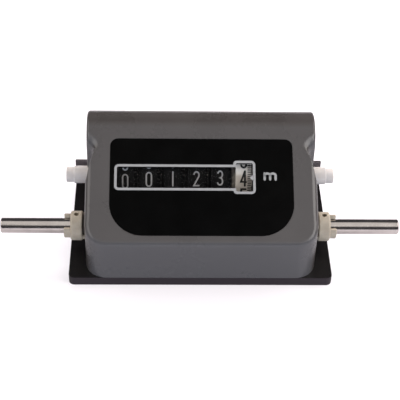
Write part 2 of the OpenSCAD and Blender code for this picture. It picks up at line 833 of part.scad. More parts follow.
// A number wheel about its own axis: rim, web, hub, transfer teeth and reset pawl
module wheel_form(with_ring) {
    half_w = wheel_w / 2;
    sleeve_r = ring_root_r - sleeve_t;
    sleeve_z = with_ring ? half_w + ring_w : half_w;
    bore_r = reset_r + running;
    pawl_r = (hub_r + sleeve_r) / 2;
    difference() {
        union() {
            tube(bore_r, hub_r, -hub_half, hub_half);
            tube(hub_r - 0.5, wheel_r - rim_t / 2, -half_w, -half_w + web_t);
            tube(wheel_r - rim_t, wheel_r, -half_w, half_w);
            tube(sleeve_r, ring_root_r, -half_w, sleeve_z);
            if (with_ring) translate([0, 0, half_w]) linear_extrude(ring_w) difference() {
                rotate(ring_turn()) polygon(gear_points(ring_teeth, transfer_m));
                circle(r = sleeve_r);
            }
            tube(hub_r - 0.5, carry_root_r, -half_w - ring_w, -half_w);
            translate([0, 0, -half_w - ring_w]) linear_extrude(ring_w) for (k = [-0.5, 0.5])
                polygon(sector_points(carry_root_r - 0.5, carry_tip_r,
                    carry_dir + k * 18 - 4, carry_dir + k * 18 + 4, 2));
            translate([0, 0, -half_w]) linear_extrude(wheel_w - 1) {
                polygon(sector_points(pawl_r - 0.35, pawl_r + 0.35, pawl_from, pawl_to, 12));
                polygon(sector_points(pawl_r, sleeve_r + 0.3, pawl_from, pawl_from + 14, 2));
            }
        }
        rotate(pawl_to - 8) translate([bore_r - 1, -0.9, -half_w + web_t])
            cube([hub_r - bore_r + 1.2, 1.8, wheel_w]);
    }
    translate([0, 0, -half_w + web_t]) linear_extrude(wheel_w - web_t - 1)
        rotate(pawl_to - 8) polygon([
            [bore_r + 0.1, -0.3], [pawl_r, -0.6], [pawl_r, 0.6], [bore_r + 0.1, 0.3]
        ]);
}

// Turn of the tooth ring within a wheel
function ring_turn() = pinion_dir - read_dir;

module number_wheel(i) {
    lowest = i == wheel_count - 1;
    color(lowest ? [0.85, 0.83, 0.79] : [0.05, 0.05, 0.05])
        along_x(wheel_x(i), axis_y, axis_z) rotate(wheel_turn(i)) wheel_form(!lowest);
}

module pinion_shaft() {
    color([0.68, 0.68, 0.68]) bar_x(-frame_x, frame_x, pinion_y, pinion_z, pinion_shaft_r);
}

// Transfer pinion i, between wheel i and the next one on its right
module transfer_pinion(i) {
    gap_x0 = wheel_x(i) + wheel_w / 2 + free_gap;
    full_w = ring_w - free_gap + 0.1;
    long_w = wheel_pitch - wheel_w - 2 * free_gap;
    root_r = transfer_m * (pinion_teeth / 2 - dedendum);
    turn = mesh_turn(pinion_dir, ring_teeth, wheel_turn(i) + ring_turn(), pinion_teeth);
    color([0.82, 0.82, 0.8]) along_x(gap_x0, pinion_y, pinion_z) difference() {
        union() {
            rotate(turn) linear_extrude(full_w) polygon(gear_points(pinion_teeth, transfer_m));
            rotate(turn) linear_extrude(long_w) intersection() {
                polygon(gear_points(pinion_teeth, transfer_m));
                for (k = [0:2:pinion_teeth - 1]) rotate(k * 360 / pinion_teeth)
                    translate([0, -0.4 * pinion_c / 4]) square([pinion_c, 0.8 * pinion_c / 4]);
            }
            cylinder(r = root_r, h = long_w);
        }
        translate([0, 0, -1]) cylinder(r = pinion_shaft_r + running, h = long_w + 2);
    }
}

base_plate();
housing();
front_panel();
window_lens();
window_outline();
left_side_plate();
right_side_plate();
front_tie_bar();
back_tie_bar();
tie_bar_screws();
frame_screws();
housing_screws();
drive_shaft();
left_bush();
right_bush();
left_shaft_ring();
right_shaft_ring();
drive_gear();
idler_rod();
idler_gear();
units_gear();
reset_shaft();
left_reset_stub();
right_reset_stub();
left_spacer();
right_spacer();
detent_disc();
detent_spring();
for (i = [0:wheel_count - 1])
    number_wheel(i);
pinion_shaft();
for (i = [0:wheel_count - 2])
    transfer_pinion(i);
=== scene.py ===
"""Looks of a base-mounted mechanical length counter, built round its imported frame."""

from __future__ import annotations

import json
import logging
import math
from dataclasses import dataclass
from enum import Enum
from typing import Callable, Sequence

import bmesh
import bpy
import numpy as np
from mathutils import Matrix, Vector

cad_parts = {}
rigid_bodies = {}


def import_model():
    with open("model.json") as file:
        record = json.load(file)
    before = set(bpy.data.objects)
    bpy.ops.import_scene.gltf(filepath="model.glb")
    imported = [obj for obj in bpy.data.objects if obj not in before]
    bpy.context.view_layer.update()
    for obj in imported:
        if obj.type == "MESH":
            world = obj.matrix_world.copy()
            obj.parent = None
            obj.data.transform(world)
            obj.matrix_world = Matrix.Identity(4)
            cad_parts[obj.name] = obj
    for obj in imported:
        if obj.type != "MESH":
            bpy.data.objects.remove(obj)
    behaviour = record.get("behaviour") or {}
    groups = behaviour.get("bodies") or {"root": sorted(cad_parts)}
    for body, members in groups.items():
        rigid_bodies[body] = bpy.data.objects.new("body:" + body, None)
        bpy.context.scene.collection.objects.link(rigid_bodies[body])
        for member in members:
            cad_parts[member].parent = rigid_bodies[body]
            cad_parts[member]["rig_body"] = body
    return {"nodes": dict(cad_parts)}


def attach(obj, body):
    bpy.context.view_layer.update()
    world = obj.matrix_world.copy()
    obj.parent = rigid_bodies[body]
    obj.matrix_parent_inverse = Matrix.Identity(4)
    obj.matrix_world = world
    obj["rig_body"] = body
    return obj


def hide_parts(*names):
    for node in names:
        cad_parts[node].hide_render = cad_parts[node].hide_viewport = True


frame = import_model()

MM = 0.001
LOG = logging.getLogger("counter")

Point2 = tuple[float, float]
Colour = tuple[float, float, float]
Place = Callable[[float, float, float], Vector]
Value = "float | Sequence[float] | Sock"


class Slot(Enum):
    """The record's material slots, one named by each finish."""

    BASE = "base"
    HOUSING = "housing"
    PANEL = "panel"
    LENS = "lens"
    PRINT = "print"
    PLATED = "plated_steel"
    SPRING = "spring_steel"
    SCREWS = "screws"
    SHAFT = "shaft_steel"
    BUSH = "bush"
    STUB = "stub"
    BRASS = "brass"
    BLACK_WHEEL = "black_wheel"
    WHITE_WHEEL = "white_wheel"
    PINION = "pinion"


class Side(Enum):
    """The two ends of the counter, with the sign of their X."""

    LEFT = -1
    RIGHT = 1

    @property
    def label(self) -> str:
        """The side's word in the names of nodes and pieces."""
        return self.name.lower()


@dataclass(frozen=True)
class Layout:
    """Places and sizes in millimetres that several sub-assemblies share.

    X runs along the shafts, Y from the front to the back and Z up, from the middle of the
    base plate's underside.
    """

    base_t: float = 4.5
    front_y: float = -35.0
    back_y: float = 30.0
    case_half: float = 51.5
    crease_z: float = 25.7
    slope: float = math.radians(29.0)
    axis_y: float = 7.7
    axis_z: float = 28.0
    shaft_y: float = -13.5
    shaft_z: float = 16.0
    shaft_r: float = 3.5
    wheel_r: float = 13.2
    wheel_pitch: float = 10.6
    units_x: float = 19.1
    window_v: float = 30.72
    panel_half: float = 40.6
    panel_low: float = 4.0
    panel_h: float = 45.0
    panel_low_r: float = 15.0
    panel_top_r: float = 3.5
    flange_x: float = 53.1
    stub_r: float = 4.0
    screw_x: float = 20.0
    screw_z: float = 10.0

    def wheel_x(self, index: int) -> float:
        """Middle of wheel 0 (left) to 5 (right) along X."""
        return self.units_x - (5 - index) * self.wheel_pitch

    def on_face(self, x: float, v: float, w: float) -> Vector:
        """A point from its place on the sloping face.

        Args:
            x: Distance along the shafts.
            v: Distance up the slope from the crease.
            w: Height over the face.

        Returns:
            The point, in millimetres.
        """
        return Vector((x, *self.face_yz(v, w)))

    def face_yz(self, v: float | np.ndarray, w: float | np.ndarray) -> tuple:
        """Y and Z of a place up the slope and over the face."""
        sin_s, cos_s = math.sin(self.slope), math.cos(self.slope)
        return self.front_y + v * cos_s - w * sin_s, self.crease_z + v * sin_s + w * cos_s


LAYOUT = Layout()


# Node trees


def add_node(tree: bpy.types.NodeTree, kind: str, settings: dict, inputs: dict) -> bpy.types.Node:
    """Adds one node to a tree of any kind.

    Args:
        tree: The tree.
        kind: The node's type name.
        settings: Attributes to set first.
        inputs: Values or sockets to link, by the input's name or number.

    Returns:
        The node.
    """
    node = tree.nodes.new(kind)
    for name, value in settings.items():
        setattr(node, name, value)
    for name, value in inputs.items():
        if isinstance(value, bpy.types.NodeSocket):
            tree.links.new(value, node.inputs[name])
        else:
            node.inputs[name].default_value = value
    return node


class Sock:
    """A shader socket on which sums are written as Python expressions."""

    def __init__(self, graph: Graph, socket: bpy.types.NodeSocket) -> None:
        """Keeps the graph that new nodes go to, and the socket itself."""
        self.graph = graph
        self.socket = socket

    def _sum(self, operation: str, first: Value, second: Value) -> Sock:
        """Adds one Math node for the two values."""
        return self.graph.add("ShaderNodeMath", {"operation": operation}, {0: first, 1: second})

    def __add__(self, other: Value) -> Sock:
        """self + other."""
        return self._sum("ADD", self, other)

    __radd__ = __add__

    def __rsub__(self, other: Value) -> Sock:
        """other - self."""
        return self._sum("SUBTRACT", other, self)

    def __mul__(self, other: Value) -> Sock:
        """self * other."""
        return self._sum("MULTIPLY", self, other)

    __rmul__ = __mul__

    def part(self, axis: int) -> Sock:
        """A vector's X, Y or Z, for the number 0, 1 or 2."""
        return self.graph.add("ShaderNodeSeparateXYZ", {}, {0: self}, axis)

    def size(self) -> Sock:
        """The value without its sign."""
        return self.graph.add("ShaderNodeMath", {"operation": "ABSOLUTE"}, {0: self})

    def over(self, low: float, high: float) -> Sock:
        """0 below low, 1 above high, and a soft step between them.

        Args:
            low: The value where the step starts.
            high: The value where it ends.

        Returns:
            The step.
        """
        return self.graph.add(
            "ShaderNodeMapRange", {"interpolation_type": "SMOOTHSTEP"},
            {"Value": self, "From Min": low, "From Max": high, "To Min": 0.0, "To Max": 1.0})


class Graph:
    """The shader tree of one material or world."""

    def __init__(self, tree: bpy.types.NodeTree) -> None:
        """Empties the tree."""
        self.tree = tree
        tree.nodes.clear()

    def add(self, kind: str, settings: dict | None = None, inputs: dict | None = None,
            output: int | str = 0) -> Sock:
        """Adds one node, whose inputs may be wrapped sockets, and returns an output.

        Args:
            kind: The node's type name.
            settings: Attributes to set first.
            inputs: Values or links by the socket's name or number.
            output: The wanted output's name or number.

        Returns:
            The wanted output.
        """
        plain = {k: v.socket if isinstance(v, Sock) else v for k, v in (inputs or {}).items()}
        return Sock(self, add_node(self.tree, kind, settings or {}, plain).outputs[output])

    def close(self, kind: str, surface: Sock) -> None:
        """Ends the tree with an output node of that kind."""
        add_node(self.tree, kind, {}, {"Surface": surface.socket})

    def mix(self, factor: Value, first: Value, second: Value) -> Sock:
        """Mixes two colours."""
        return self.add("ShaderNodeMix", {"data_type": "RGBA"}, {0: factor, 6: first, 7: second}, 2)

    def noise(self, at: Sock, scale: float, detail: float = 2.0, rough: float = 0.5) -> Sock:
        """A noise pattern from 0 to 1 at that many waves a metre.

        Args:
            at: The coordinates.
            scale: Waves a metre.
            detail: Number of finer layers.
            rough: Weight of the finer layers.

        Returns:
            The pattern.
        """
        values = {"Vector": at, "Scale": scale, "Detail": detail, "Roughness": rough}
        return self.add("ShaderNodeTexNoise", {}, values)


# Finishes


def rgba(colour: Colour) -> tuple[float, float, float, float]:
    """A colour with full opacity."""
    return (*colour, 1.0)


DUST_COLOUR: Colour = (0.30, 0.28, 0.26)
# Painted shade: the near-black colour laid on the bushes' barrels in the gap between flange and
# housing, where shade falls.
GAP_SHADE_COLOUR: Colour = (0.020, 0.014, 0.012)
RAISED_COLOUR: Colour = (0.118, 0.102, 0.109)
# Radius in millimetres out to which that painted shade reaches round the drive shaft's axis.
GAP_SHADE_R = 5.1


@dataclass(frozen=True)
class Finish:
    """One surface finish, with its patterns on Object coordinates.

    Attributes:
        name: The material's name.
        slot: The record's slot; it is not used.
        dark: Colour of the mottled pattern's dark places.
        light: Colour of its light places.
        rough_low: Roughness of the smoothest places.
        rough_high: Roughness of the roughest places.
        metallic: How much of a metal it is.
        specular: Strength of its mirrored light, where 0.5 is plain.
        mottle: Scale of the mottled pattern, in waves a metre.
        grain: Scale of the grain, in waves a metre.
        grain_h: Height of the grain, in millimetres.
        stretch: How the grain is squeezed along each axis.
        dust: How much dust lies on the faces that look up.
        subsurface: How much light passes under the surface.
        alpha: How solid it looks.
        band: Least and greatest |x| of a ring of painted shade round the drive shaft, in
            millimetres, laid where the gap between flange and housing lies in shade.
        front: Colour of the faces that look ahead; it is painted light, paler to stand in for the
            light that falls on them from the front.
        raised: Height in millimetres over which those faces have a paler colour.
    """

    name: str
    slot: Slot
    dark: Colour
    light: Colour
    rough_low: float
    rough_high: float
    metallic: float = 0.0
    specular: float = 0.5
    mottle: float = 60.0
    grain: float = 3000.0
    grain_h: float = 0.004
    stretch: tuple[float, float, float] = (1.0, 1.0, 1.0)
    dust: float = 0.0
    subsurface: float = 0.0
    alpha: float = 1.0
    band: Point2 | None = None
    front: Colour | None = None
    raised: float = 0.0

    def material(self) -> bpy.types.Material:
        """Builds the material, or returns it if it is there already.

        Returns:
            The material, with a mottled colour and roughness and a grained bump.
        """
        known = bpy.data.materials.get(self.name)
        if known:
            return known
        made = bpy.data.materials.new(self.name)
        made.use_nodes = True
        graph = Graph(made.node_tree)
        at = graph.add("ShaderNodeTexCoord", output="Object")
        drawn = graph.add("ShaderNodeMapping", {}, {"Vector": at, "Scale": self.stretch})
        mottle = graph.noise(at, self.mottle, 4.0, 0.6).over(0.3, 0.7)
        grain = graph.noise(drawn, self.grain)
        spread = self.rough_high - self.rough_low
        rough = mottle * spread * 0.6 + grain * spread * 0.4 + self.rough_low
        colour = graph.mix(mottle, rgba(self.dark), rgba(self.light))
        if self.dust:
            dust = self._dust_on(graph, at)
            colour = graph.mix(dust, colour, rgba(DUST_COLOUR))
            rough = rough + dust * 0.5
        # Painted shade on the bushes' barrels in the shaded gap between flange and housing.
        if self.band:
            colour = graph.mix(self._band_at(graph, at), colour, rgba(GAP_SHADE_COLOUR))
        # Painted light: faces that look ahead take a paler colour that stands in for the light from
        # the front.
        if self.front:
            colour = self._fronted(graph, at, colour)
        height = {"Strength": 1.0, "Distance": self.grain_h * MM, "Height": grain}
        shader = graph.add("ShaderNodeBsdfPrincipled", {}, {
            "Base Color": colour, "Roughness": rough, "Metallic": self.metallic,
            "Specular IOR Level": self.specular, "Alpha": self.alpha,
            "Normal": graph.add("ShaderNodeBump", {}, height),
            "Subsurface Weight": self.subsurface, "Subsurface Radius": (1.0, 0.8, 0.6),
            "Subsurface Scale": 0.0015})
        graph.close("ShaderNodeOutputMaterial", shader)
        return made

    def _dust_on(self, graph: Graph, at: Sock) -> Sock:
        """Specks and a film of dust on the faces that look up.

        Args:
            graph: The material's graph.
            at: Object coordinates.

        Returns:
            The share of dust.
        """
        up = graph.add("ShaderNodeNewGeometry", output="Normal").part(2).over(0.2, 1.0)
        specks = graph.noise(at, 1400.0, 3.0, 0.7).over(0.62, 0.78)
        film = graph.noise(at, 25.0, 3.0, 0.6).over(0.35, 0.75)
        return up * (specks * 0.7 + film * 0.3) * self.dust

    def _band_at(self, graph: Graph, at: Sock) -> Sock:
        """1 in a band of |x| close round the drive shaft, and 0 elsewhere.

        Args:
            graph: The material's graph.
            at: Object coordinates.

        Returns:
            The mask of the painted shade.
        """
        axis = (0.0, LAYOUT.shaft_y * MM, LAYOUT.shaft_z * MM)
        kind, across = "ShaderNodeVectorMath", (0.0, 1.0, 1.0)
        flat = graph.add(kind, {"operation": "MULTIPLY"}, {0: at, 1: across})
        out = graph.add(kind, {"operation": "DISTANCE"}, {0: flat, 1: axis}, "Value")
        low, high = (end * MM for end in self.band)
        edge, along = 0.1 * MM, at.part(0).size()
        inside = along.over(low, low + edge) * (1 - along.over(high - edge, high))
        return inside * (1 - out.over(GAP_SHADE_R * MM, GAP_SHADE_R * MM + 2 * edge))

    def _fronted(self, graph: Graph, at: Sock, colour: Sock) -> Sock:
        """Paints light on the faces that look ahead as a paler colour of their own, and gives a
        paler one high up.

        Args:
            graph: The material's graph.
            at: Object coordinates.
            colour: The colour of all other faces.

        Returns:
            The colour of all faces.
        """
        facing = graph.add("ShaderNodeNewGeometry", output="Normal")
        # Painted light: the share of the front colour grows as a face turns to look ahead.
        ahead = (facing.part(1) * -1.0).over(0.3, 0.8)
        colour = graph.mix(ahead, colour, rgba(self.front))
        if self.raised:
            upward = facing.part(2).over(0.5, 0.9)
            high = at.part(2).over(self.raised * MM, (self.raised + 0.4) * MM)
            colour = graph.mix(high * (ahead + upward * 0.3), colour, rgba(RAISED_COLOUR))
        return colour


# The housing's front colour is painted light: faces that look ahead are drawn paler and bluer, as
# the light from the front shows them.
MOULDED = Finish("moulded_grey", Slot.HOUSING, (0.0250, 0.0218, 0.0207), (0.0296, 0.0260, 0.0248),
                 0.24, 0.32, grain=4200.0, grain_h=0.003, mottle=40.0, dust=0.08,
                 front=(0.051, 0.049, 0.051))
GLOSS_BLACK = Finish("gloss_black", Slot.PANEL, (0.0008, 0.0008, 0.0008), (0.0012, 0.0012, 0.0012),
                     0.16, 0.30, specular=0.02, grain=900.0, grain_h=0.0015, mottle=90.0,
                     dust=0.005)
CLEAR = Finish("clear_lens", Slot.LENS, (0.02, 0.02, 0.02), (0.03, 0.03, 0.03), 0.04, 0.10,
               grain=500.0, grain_h=0.0005, alpha=0.03)
PRINTED = Finish("printed_grey", Slot.PRINT, (0.162, 0.162, 0.164), (0.186, 0.186, 0.188), 0.45,
                 0.60, grain=5000.0, grain_h=0.002, mottle=300.0)
FIGURES = Finish("figure_white", Slot.PRINT, (0.32, 0.32, 0.33), (0.38, 0.38, 0.39), 0.45, 0.60,
                 grain=5000.0, grain_h=0.002, mottle=500.0)
INK = Finish("figure_black", Slot.BLACK_WHEEL, (0.010, 0.009, 0.009), (0.016, 0.015, 0.014), 0.45,
             0.60, grain=5000.0, grain_h=0.002, mottle=500.0)
# The plate's front colour is painted light: faces that look ahead are drawn paler, as the light
# from the front shows them.
BLACK_PAINT = Finish("black_paint", Slot.BASE, (0.0026, 0.0020, 0.0024), (0.0040, 0.0033, 0.0038),
                     0.34, 0.48, specular=0.26, grain=1800.0, grain_h=0.008, mottle=70.0, dust=0.02,
                     front=(0.0172, 0.0132, 0.0160), raised=5.2)
GROUND_STEEL = Finish("ground_steel", Slot.SHAFT, (0.54, 0.50, 0.48), (0.64, 0.60, 0.57), 0.13,
                      0.21, metallic=1.0, grain=9000.0, grain_h=0.0012, stretch=(1.0, 0.03, 0.03),
                      mottle=120.0)
# The bush finish carries painted shade on the barrel in the gap between flange and housing.
CREAM = Finish("cream_moulding", Slot.BUSH, (0.25, 0.212, 0.165), (0.325, 0.283, 0.224), 0.40, 0.52,
               grain=3500.0, grain_h=0.005, mottle=150.0, subsurface=0.15, band=(51.6, 53.15))
TRANSLUCENT = Finish("white_moulding", Slot.STUB, (0.40, 0.372, 0.355), (0.465, 0.433, 0.415), 0.26,
                     0.38, grain=2500.0, grain_h=0.006, mottle=200.0, subsurface=0.2)
MATT_BLACK = Finish("matt_black", Slot.BLACK_WHEEL, (0.0018, 0.0018, 0.0020),
                    (0.0034, 0.0034, 0.0038), 0.48, 0.62, specular=0.08, grain=2600.0,
                    grain_h=0.003, mottle=260.0)
IVORY = Finish("ivory", Slot.WHITE_WHEEL, (0.68, 0.62, 0.555), (0.76, 0.70, 0.63), 0.40, 0.55,
               grain=4200.0, grain_h=0.005, mottle=220.0)
DARK_MOULDING = Finish("pinion_moulding", Slot.PINION, (0.020, 0.020, 0.022), (0.032, 0.032, 0.034),
                       0.35, 0.50, grain=3500.0, grain_h=0.004, mottle=200.0, subsurface=0.15)
CUT_BRASS = Finish("cut_brass", Slot.BRASS, (0.52, 0.35, 0.13), (0.66, 0.46, 0.19), 0.22, 0.38,
                   metallic=1.0, grain=6000.0, grain_h=0.002, stretch=(0.05, 1.0, 1.0),
                   mottle=180.0)
ZINC = Finish("zinc_plate", Slot.PLATED, (0.40, 0.41, 0.40), (0.54, 0.54, 0.52), 0.28, 0.46,
              metallic=1.0, grain=2600.0, grain_h=0.003, mottle=110.0)
ZINC_SCREW = Finish("zinc_screw", Slot.SCREWS, (0.42, 0.41, 0.37), (0.56, 0.55, 0.50), 0.26, 0.42,
                    metallic=1.0, grain=4000.0, grain_h=0.003, mottle=400.0)
BLUED = Finish("blued_steel", Slot.SPRING, (0.16, 0.16, 0.18), (0.28, 0.28, 0.29), 0.26, 0.40,
               metallic=1.0, grain=5000.0, grain_h=0.002, mottle=260.0)


# Mesh tools


def new_object(name: str, mesh: bpy.types.Mesh) -> bpy.types.Object:
    """Links a new object that shows the mesh.

    Args:
        name: The object's name.
        mesh: Its mesh.

    Returns:
        The object.
    """
    made = bpy.data.objects.new(name, mesh)
    bpy.context.scene.collection.objects.link(made)
    return made


def written(build: bmesh.types.BMesh, mesh: bpy.types.Mesh) -> bpy.types.Mesh:
    """Writes a bmesh to a mesh and frees it.

    Args:
        build: The bmesh.
        mesh: The mesh that takes it.

    Returns:
        The mesh.
    """
    build.to_mesh(mesh)
    build.free()
    return mesh


def mesh_of(build: bmesh.types.BMesh, name: str) -> bpy.types.Mesh:
    """Turns a bmesh in millimetres into a mesh in metres, with its normals outwards.

    Args:
        build: The bmesh, which is used up.
        name: The mesh's name.

    Returns:
        The mesh.
    """
    bmesh.ops.remove_doubles(build, verts=build.verts, dist=1e-5)
    bmesh.ops.recalc_face_normals(build, faces=build.faces)
    bmesh.ops.scale(build, vec=(MM, MM, MM), verts=build.verts)
    return written(build, bpy.data.meshes.new(name))


def flattened(build: bmesh.types.BMesh, degrees: float) -> None:
    """Merges neighbouring faces that turn less than that many degrees."""
    limit = math.radians(degrees)
    bmesh.ops.dissolve_limit(build, angle_limit=limit, verts=build.verts, edges=build.edges)


def smooth_by_angle(mesh: bpy.types.Mesh, degrees: float) -> None:
    """Shades the mesh smooth, but for the edges that turn more than that many degrees.

    Args:
        mesh: The mesh.
        degrees: Least turn of an edge that stays sharp.
    """
    build = bmesh.new()
    build.from_mesh(mesh)
    limit = math.radians(degrees)
    for face in build.faces:
        face.smooth = True
    for edge in build.edges:
        edge.smooth = len(edge.link_faces) == 2 and edge.calc_face_angle(0.0) < limit
    written(build, mesh)


def cut_away(obj: bpy.types.Object, build: bmesh.types.BMesh, joined_solids: bool = False) -> None:
    """Cuts a bmesh in millimetres out of an object.

    Args:
        obj: The object that is cut.
        build: The cutter, which is used up.
        joined_solids: Whether the object is made of solids that pass into each other.
    """
    cutter = new_object("cutter", mesh_of(build, "cutter"))
    cut = obj.modifiers.new("cut", "BOOLEAN")
    cut.operation, cut.solver, cut.object = "DIFFERENCE", "EXACT", cutter
    cut.use_self = joined_solids
    bake_modifiers(obj)
    bpy.data.objects.remove(cutter)


def bake_modifiers(obj: bpy.types.Object) -> None:
    """Replaces the object's mesh with the result of its modifiers.

    Args:
        obj: The object.
    """
    graph = bpy.context.evaluated_depsgraph_get()
    mesh = bpy.data.meshes.new_from_object(obj.evaluated_get(graph), depsgraph=graph)
    old = obj.data
    obj.modifiers.clear()
    obj.data = mesh
    bpy.data.meshes.remove(old)


def soften(obj: bpy.types.Object, width: float, segments: int = 3, degrees: float = 35.0) -> None:
    """Rounds the object's edges and evens its shading.

    Args:
        obj: The object to round.
        width: Width of the rounding, in millimetres.
        segments: Number of steps in the rounding.
        degrees: Least angle of an edge that is rounded.
    """
    if width > 0:
        bevel = obj.modifiers.new("rounding", "BEVEL")
        bevel.width = width * MM
        bevel.segments = segments
        bevel.limit_method = "ANGLE"
        bevel.angle_limit = math.radians(degrees)
        bevel.use_clamp_overlap = True
        bake_modifiers(obj)
    smooth_by_angle(obj.data, 40.0)
    weighted = obj.modifiers.new("shading", "WEIGHTED_NORMAL")
    weighted.keep_sharp = True
    weighted.weight = 60
    bake_modifiers(obj)


def dress(obj: bpy.types.Object, finish: Finish, body: str, *nodes: str) -> bpy.types.Object:
    """Gives a piece its finish, its body and the nodes that it stands for.

    Args:
        obj: The piece.
        finish: Its finish.
        body: The body that it rides on.
        nodes: The frame's nodes that it replaces.

    Returns:
        The piece.
    """
    obj.data.materials.clear()
    obj.data.materials.append(finish.material())
    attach(obj, body)
    if nodes:
        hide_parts(*nodes)
    LOG.info("%s: %d faces on %s", obj.name, len(obj.data.polygons), body)
    return obj


def body_of(node: str) -> str:
    """The body that a node of the frame rides on."""
    return str(frame["nodes"][node]["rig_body"])


def refined(node: str, finish: Finish, width: float, segments: int = 2) -> bpy.types.Object:
    """Makes a piece from a node's own mesh, with merged faces and rounded edges.

    Args:
        node: The frame's node.
        finish: The piece's finish.
        width: Width of the rounding, in millimetres.
        segments: Number of steps in the rounding.

    Returns:
        The piece, which replaces the node.
    """
    build = bmesh.new()
    build.from_mesh(frame["nodes"][node].data)
    bmesh.ops.remove_doubles(build, verts=build.verts, dist=2e-6)
    flattened(build, 0.6)
    piece = new_object(node + "_piece", written(build, bpy.data.meshes.new(node + "_shape")))
    soften(piece, width, segments)
    return dress(piece, finish, body_of(node), node)


def fillet(points: Sequence[Point2], radii: Sequence[float], steps: int = 6) -> list[Point2]:
    """Rounds the corners of a closed outline.

    Args:
        points: The outline's corners in order.
        radii: The radius at each corner.
        steps: Number of steps in each rounding.

    Returns:
        The rounded outline's points.
    """
    made: list[Point2] = []
    count = len(points)
    for i, (corner, radius) in enumerate(zip(points, radii)):
        here = Vector(corner)
        before, after = Vector(points[i - 1]) - here, Vector(points[(i + 1) % count]) - here
        if radius <= 0:
            made.append(corner)
            continue
        before.normalize()
        after.normalize()
        half = before.angle(after) / 2
        reach = radius / math.tan(half)
        centre = here + (before + after).normalized() * (radius / math.sin(half))
        start, end = here + before * reach - centre, here + after * reach - centre
        turn = start.angle_signed(end)
        for k in range(steps + 1):
            spun = start.copy()
            spun.rotate(Matrix.Rotation(-turn * k / steps, 2))
            made.append((centre.x + spun.x, centre.y + spun.y))
    return made


def lathe(name: str, profile: Sequence[Point2], y: float, z: float,
          segments: int = 96) -> bpy.types.Object:
    """Turns a closed profile about an axis along X.

    Args:
        name: The object's name.
        profile: Points (x, radius) round the section; a radius of nought is on the axis.
        y: Place of the axis along Y.
        z: Place of the axis along Z.
        segments: Number of steps round the axis.

    Returns:
        The turned object.
    """
    build = bmesh.new()
    rings = []
    for x, r in profile:
        if r < 1e-6:
            rings.append([build.verts.new((x, y, z))])
        else:
            turns = (2 * math.pi * k / segments for k in range(segments))
            places = ((x, y + r * math.cos(a), z + r * math.sin(a)) for a in turns)
            rings.append([build.verts.new(at) for at in places])
    for i, ring in enumerate(rings):
        after = rings[(i + 1) % len(rings)]
        if len(ring) == 1 and len(after) == 1:
            continue
        for k in range(segments):
            m = (k + 1) % segments
            corners = [r[n % len(r)] for r, n in ((ring, k), (ring, m), (after, m), (after, k))]
            build.faces.new(list(dict.fromkeys(corners)))
    return new_object(name, mesh_of(build, name))


def prism(name: str, loops: Sequence[Sequence[Point2]], place: Place, low: float,
          high: float) -> bpy.types.Object:
    """Extrudes a flat shape with holes.

    Args:
        name: The object's name.
        loops: The outer outline, then the outlines of its holes or of further shapes beside it.
        place: Maps the shape's two coordinates and a height to a point.
        low: Lower height.
        high: Upper height.

    Returns:
        The extruded object.
    """
    build = bmesh.new()
    for loop in loops:
        ring = [build.verts.new((a, b, 0.0)) for a, b in loop]
        for i, vert in enumerate(ring):
            build.edges.new((vert, ring[(i + 1) % len(ring)]))
    bmesh.ops.triangle_fill(build, use_beauty=True, use_dissolve=False, edges=build.edges[:])
    bmesh.ops.dissolve_limit(build, angle_limit=0.01, verts=build.verts, edges=build.edges)
    top = bmesh.ops.extrude_face_region(build, geom=build.faces[:])
    raised = {v for v in top["geom"] if isinstance(v, bmesh.types.BMVert)}
    for vert in build.verts:
        vert.co = place(vert.co.x, vert.co.y, high if vert in raised else low)
    return new_object(name, mesh_of(build, name))


def place_on_x(y: float, z: float, turn: float) -> Place:
    """Maps a shape drawn across an axis along X, turned by that angle, to its place."""
    cos_t, sin_t = math.cos(turn), math.sin(turn)
    return lambda a, b, h: Vector((h, y + a * cos_t - b * sin_t, z + a * sin_t + b * cos_t))


def joined(name: str, parts: Sequence[bpy.types.Object]) -> bpy.types.Object:
    """Joins objects into one.

    Args:
        name: The new object's name.
        parts: The objects, which are removed.

    Returns:
        The new object.
    """
    build = bmesh.new()
    for part in parts:
        build.from_mesh(part.data)
        bpy.data.objects.remove(part)
    return new_object(name, written(build, bpy.data.meshes.new(name)))


